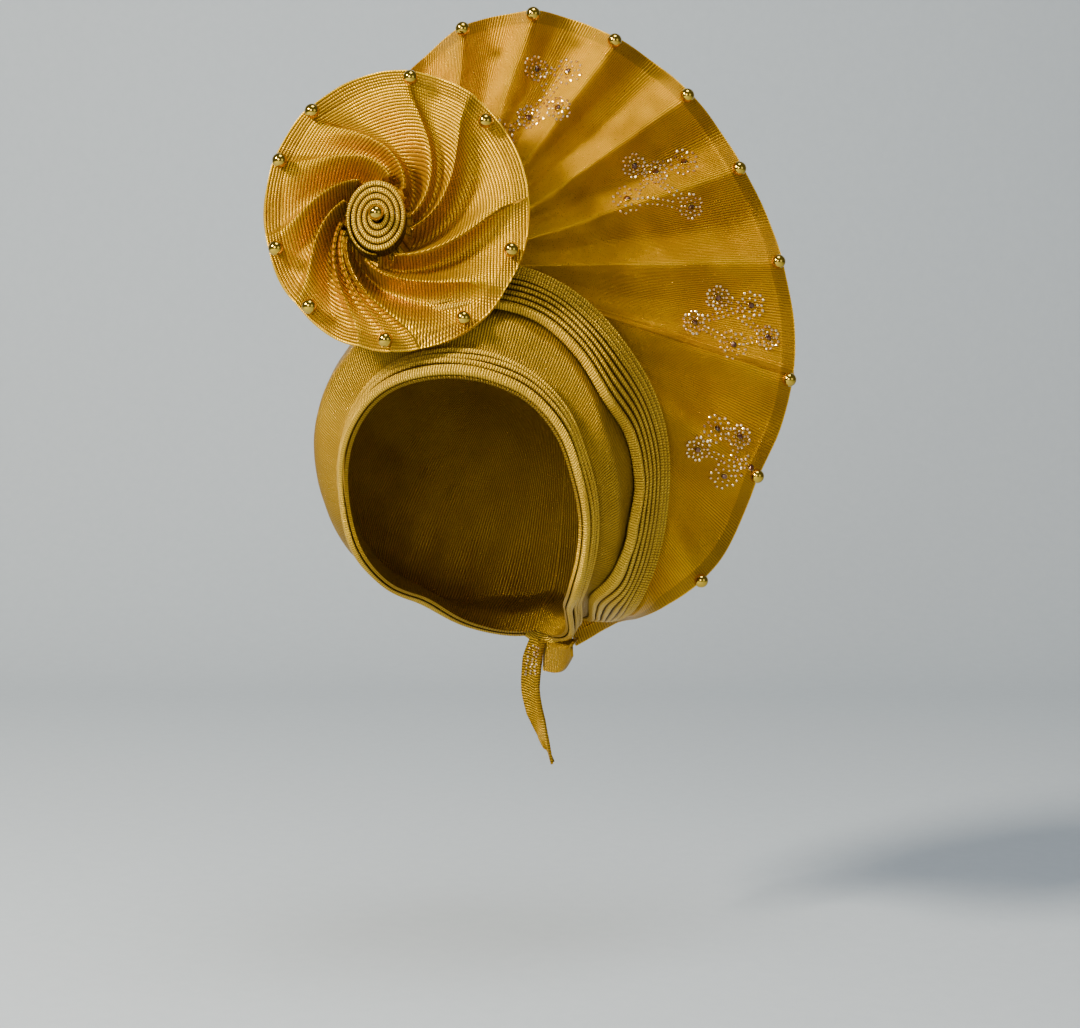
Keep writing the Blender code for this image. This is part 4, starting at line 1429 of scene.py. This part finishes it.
@dataclass
class Stones:
    """Cut stones and sprays of fine crystals on the fan."""

    fan: Fan
    radius: float = 0.0021
    cup_height: float = 0.0007
    stone_height: float = 0.0013
    sprays: int = 4
    stones_each: int = 5
    # Petals and size of a flower, in turns
    flowers: Sequence[tuple[int, float]] = ((6, 0.0068), (5, 0.0080))
    ring_crystal: float = 0.00088
    loop_crystal: float = 0.00105
    row_crystals: tuple[float, float] = (0.00090, 0.00080)
    row_pitch: float = 0.0030
    row_gap: float = 0.0030
    row_bow: float = 0.0018
    crystal_gap: float = 0.0020
    stone_gap: float = 0.0011
    hem_room: float = 0.010

    def spot(self, angle: float, share_of_rim: float) -> tuple[Array, Array]:
        """Point and unit normal of the fan's face side.

        Args:
            angle: Angle round the heart in degrees.
            share_of_rim: Share of the rim's reach.

        Returns:
            The point and the normal.
        """
        at = np.array([angle, angle + 0.4, angle])
        root = self.fan.root(at)[0]
        rim = self.fan.rim(at)
        share = np.clip((share_of_rim * rim - root) / (rim - root), 0.04, 0.97)
        share[2] += 0.02
        here, aside, outward = self.fan.surface(at, share)
        normal = np.cross(aside - here, outward - here)
        normal /= np.linalg.norm(normal)
        if normal @ OUT < 0:
            normal = -normal
        return here, normal

    def at(self, across: float, up: float) -> tuple[Array, Array]:
        """Point and normal of the fan's face side, across and up from its heart."""
        angle = math.degrees(math.atan2(up, across))
        return self.spot(angle, math.hypot(across, up) / float(self.fan.rim(np.array([angle]))[0]))

    def cut_mesh(self, radius: float, height: float, sides: int) -> bmesh.types.BMesh:
        """Cut stone: a girdle, crown facets in two rings and a table.

        Args:
            radius: Radius of the girdle.
            height: Height of the stone.
            sides: Number of its sides.

        Returns:
            The mesh, standing on the origin.
        """
        built = bmesh.new()
        rings = []
        for grow, level, offset in ((0.90, 0.0, 0.0), (1.0, 0.30, 0.0), (0.80, 0.72, 0.5), (0.52, 1.0, 0.0)):
            turns = [2 * math.pi * (k + offset) / sides for k in range(sides)]
            wide, tall = radius * grow, height * level
            spots = [(wide * math.cos(turn), wide * math.sin(turn), tall) for turn in turns]
            rings.append([built.verts.new(spot) for spot in spots])
        built.faces.new(list(reversed(rings[0])))
        built.faces.new(rings[-1])
        for lower, upper in zip(rings, rings[1:]):
            for k in range(sides):
                after = (k + 1) % sides
                built.faces.new((lower[k], lower[after], upper[k]))
                built.faces.new((lower[after], upper[after], upper[k]))
        bmesh.ops.recalc_face_normals(built, faces=built.faces)
        return built

    def place(self, normal: Array, spot: Array, spin: float) -> Matrix:
        """Matrix that stands a stone on a surface."""
        turn = Vector((0, 0, 1)).rotation_difference(Vector(normal)).to_matrix().to_4x4()
        return Matrix.Translation(Vector(spot)) @ turn @ Matrix.Rotation(spin, 4, "Z")

    def flat_middle(self, node: str) -> Array:
        """Middle of a stone's node, across and up from the fan's heart."""
        middle = node_middle(node)
        return np.array([middle @ ACROSS - self.fan.heart_across, middle[2] - self.fan.heart_up])

    def build_large(self, glass: bpy.types.Material, metal: bpy.types.Material) -> None:
        """Makes the larger stones, each in a rimmed cup.

        Args:
            glass: Finish of the stones.
            metal: Finish of the cups.
        """
        for k, j in ((k, j) for k in range(self.sprays) for j in range(self.stones_each)):
            node = f"stone_{k + 1}_{j + 1}"
            here, normal = self.at(*self.flat_middle(node))
            spot = here + normal * 0.0002
            deselect_all()
            bpy.ops.mesh.primitive_cylinder_add(vertices=24, radius=self.radius * 1.08, depth=self.cup_height)
            cup = bpy.context.object
            cup.name = f"cup_{k + 1}_{j + 1}"
            cup.data.transform(self.place(normal, spot + normal * self.cup_height / 2, 0.0))
            bevel = cup.modifiers.new("rim", "BEVEL")
            bevel.width, bevel.segments = 0.0002, 2
            make_active(cup)
            bpy.ops.object.modifier_apply(modifier=bevel.name)
            finish_piece(cup, metal, Slot.BEAD)
            built = self.cut_mesh(self.radius * 0.96, self.stone_height, 10)
            move = self.place(normal, spot + normal * 0.0005, 0.4 * j)
            bmesh.ops.transform(built, matrix=move, verts=built.verts)
            finish_piece(object_of(built, f"topaz_{k + 1}_{j + 1}"), glass, Slot.STONE, [node], sharp=5)

    def flower(self, petals: int, size: float) -> list[tuple[float, float, float]]:
        """Places and radii of one flower of crystals: a close ring round the stone and a scalloped loop.

        Args:
            petals: Number of petals.
            size: Radius of the flower.

        Returns:
            Places across and up from its middle, and radii.
        """
        dots = []
        for q in range(petals + 2):
            heading = 2 * math.pi * q / (petals + 2)
            dots.append((0.50 * size * math.cos(heading), 0.50 * size * math.sin(heading), self.ring_crystal))
        for q in range(3 * petals):
            heading = 2 * math.pi * q / (3 * petals)
            off = size * (1.0 if q % 3 else 0.80)
            dots.append((off * math.cos(heading), off * math.sin(heading), self.loop_crystal))
        return dots

    def chain(self, first: Array, last: Array) -> list[tuple[float, float, float]]:
        """Places and radii of a bowed double row of crystals between two flowers.

        Args:
            first: Middle of the first flower.
            last: Middle of the second.

        Returns:
            Places across and up, and radii.
        """
        run = last - first
        long = float(np.linalg.norm(run))
        aside = np.array([-run[1], run[0]]) / long
        dots = []
        for j in range(1, int(long / self.row_pitch)):
            part = j * self.row_pitch / long
            spot = first + run * part + aside * self.row_bow * math.sin(math.pi * part)
            dots.append((*spot, self.row_crystals[0]))
            dots.append((*(spot - aside * self.row_gap), self.row_crystals[1]))
        return dots

    def build_fine(self, glass: bpy.types.Material) -> None:
        """Makes the fine crystals, joined into one piece for each spray.

        Args:
            glass: Finish of the crystals.
        """
        for k in range(self.sprays):
            centres = [self.flat_middle(f"stone_{k + 1}_{j + 1}") for j in range(self.stones_each)]
            dots = []
            for j, middle in enumerate(centres):
                for x, y, radius in self.flower(*self.flowers[j % 2]):
                    dots.append((middle[0] + x, middle[1] + y, radius))
            for j, middle in enumerate(centres):
                dots.extend(self.chain(middle, centres[(j + 1) % len(centres)]))
            kept: list[tuple[float, float, float]] = []
            for x, y, radius in dots:
                clear = all(math.hypot(x - a, y - b) > self.crystal_gap for a, b, _ in kept)
                off_stones = all(math.hypot(x - a, y - b) > self.radius + self.stone_gap for a, b in centres)
                rim = float(self.fan.rim(np.array([math.degrees(math.atan2(y, x))]))[0])
                if clear and off_stones and math.hypot(x, y) < rim - self.hem_room:
                    kept.append((x, y, radius))
            self.join(f"crystal_spray_{k + 1}", [(*self.at(x, y), radius) for x, y, radius in kept], glass)

    def join(self, name: str, spots: Sequence[tuple[Array, Array, float]], glass: bpy.types.Material) -> None:
        """Makes one piece of many small crystals.

        Args:
            name: Name of the piece.
            spots: Places, normals and radii.
            glass: Finish of the crystals.
        """
        picks = np.random.default_rng(7)
        whole = bmesh.new()
        for spot, normal, radius in spots:
            stone = self.cut_mesh(radius, radius * 0.9, 6)
            move = self.place(normal, spot + normal * 0.0001, float(picks.uniform(0, 1)))
            bmesh.ops.transform(stone, matrix=move, verts=stone.verts)
            holder = bpy.data.meshes.new("crystal")
            stone.to_mesh(holder)
            stone.free()
            whole.from_mesh(holder)
            bpy.data.meshes.remove(holder)
        finish_piece(object_of(whole, name), glass, Slot.STONE, sharp=5)


# ---- studio


@dataclass
class Studio:
    """Pale sweep, soft lamps and the camera at the photograph's angle. The aim is across and up."""

    elevation: float = math.radians(4.0)
    distance: float = 1.2
    lens: float = 67.0
    aim: tuple[float, float] = (0.030, -0.026)
    floor: float = -0.31

    def build_camera(self) -> None:
        """Sets the camera up."""
        back = Vector(OUT) * math.cos(self.elevation) + Vector(UP) * math.sin(self.elevation)
        target = Vector(ACROSS) * self.aim[0] + Vector(UP) * self.aim[1]
        data = bpy.data.cameras.new("camera")
        data.lens = self.lens
        data.sensor_width = 36.0
        data.sensor_fit = "HORIZONTAL"
        camera = link_object("camera", data)
        camera.location = target + back * self.distance
        camera.rotation_euler = back.to_track_quat("Z", "Y").to_euler()
        bpy.context.scene.camera = camera

    def build_sweep(self, board: bpy.types.Material) -> None:
        """Lays the floor and turns it up into a wall behind.

        Args:
            board: Finish of the sweep.
        """
        wide = np.linspace(-3.0, 3.0, 7)
        bend = np.linspace(0, math.pi / 2, 16)
        deep = np.concatenate([[-3.0, 0.0], 1.1 + 0.6 * np.sin(bend), [1.7]])
        high = np.concatenate([[0.0, 0.0], 0.6 - 0.6 * np.cos(bend), [3.2]])
        points = as_seen(wide[None, :], (self.floor + high)[:, None], -deep[:, None])
        sweep = woven_mesh("studio_sweep", points, np.zeros((*points.shape[:2], 2)))
        make_active(sweep)
        bpy.ops.object.shade_smooth()
        sweep.data.materials.append(board)
        deselect_all()

    def build_lamps(self) -> None:
        """Hangs the soft lamps and sets the room's light."""
        # Name, place across, up and out in metres, width in metres, watts and colour
        lamps = (
            ("key", (-1.50, 1.15, 1.10), 0.5, 102.0, "FFF4E0"),
            ("fill", (1.5, 0.4, 1.6), 1.2, 5.0, "F3F6FF"),
            ("top", (0.2, 1.7, 0.5), 0.8, 14.0, "FFFFFF"),
            ("front", (-0.5, 0.5, 2.0), 0.8, 14.0, "FFF8EE"),
        )
        for name, (across, up, out), size, power, colour in lamps:
            data = bpy.data.lights.new(name, "AREA")
            data.shape = "DISK"
            data.size = size
            data.energy = power
            data.color = tint(colour)[:3]
            lamp = link_object(name, data)
            lamp.location = Vector(as_seen(across, up, out))
            lamp.rotation_euler = (lamp.location - Vector((0, 0, 0.05))).to_track_quat("Z", "Y").to_euler()
        world = bpy.data.worlds.new("studio")
        world.use_nodes = True
        backdrop = world.node_tree.nodes["Background"]
        backdrop.inputs["Color"].default_value = tint("D9DDE2")
        backdrop.inputs["Strength"].default_value = 0.20
        bpy.context.scene.world = world


def main() -> None:
    """Builds the pieces in order."""
    logging.basicConfig(level=logging.INFO, format="%(name)s %(message)s")
    fan_cloth = RibbedCloth("ribbed_satin_fan", 1.7 * MM, body="B67E00", lit="FAC400", groove="603A00")
    wrap_cloth = RibbedCloth(
        "ribbed_satin_wrap", 1.7 * MM, body="8C690A", lit="C89E1C", groove="301E00",
        groove_depth=0.9, hem_width=0.0, rim_highlight_width=0.0,
    )
    rosette_cloth = RibbedCloth(
        "ribbed_satin_rosette", 1.75 * MM, body="B28000", lit="F6C210", groove="442800", groove_depth=0.85
    )
    fold_cloth = RibbedCloth(
        "ribbed_satin_folded", 1.5 * MM, body="C29218", lit="FFDC4C", groove="3E2602", hem="2E1B04",
        groove_depth=0.8, hem_width=0.9 * MM, hem_run=1.2 * MM, hem_shade_share=0.92, rim_highlight_width=0.0,
    )
    metal = PolishedGold().build()
    studio = Studio()
    studio.build_camera()
    studio.build_sweep(PaintedBoard().build())
    studio.build_lamps()
    form = TiedForm()
    wrap = wrap_cloth.build()
    fold = fold_cloth.build()
    CrownWrap(form).build(wrap)
    BrowPleats(form).build(fold)
    SidePleats(form).build(fold)
    fan = Fan(form)
    fan.build(fan_cloth.build())
    rosette = Rosette(form)
    rosette.build_disc(rosette_cloth.build())
    rosette.build_coil(fold)
    rosette.build_stalk(fold)
    nape = NapeTie(form)
    nape.build_knot(fold)
    nape.build_flap(wrap)
    strap_crystals = nape.build_strap(wrap)
    beads = Beads()
    beads.build([f"fan_bead_{k + 1}" for k in range(9)], OUT, metal)
    beads.build([f"rosette_bead_{k + 1}" for k in range(10)], rosette.turned[2], metal)
    stones = Stones(fan)
    stones.build_large(CutGlass("foiled_topaz_glass", "2E1606", "6B3A12").build(), metal)
    crystal = CutGlass("foiled_crystal_glass", "FFE8B0", "D8A468", metallic=0.8).build()
    stones.build_fine(crystal)
    stones.join("crystal_strap", strap_crystals, crystal)


if __name__ == "__main__":
    main()
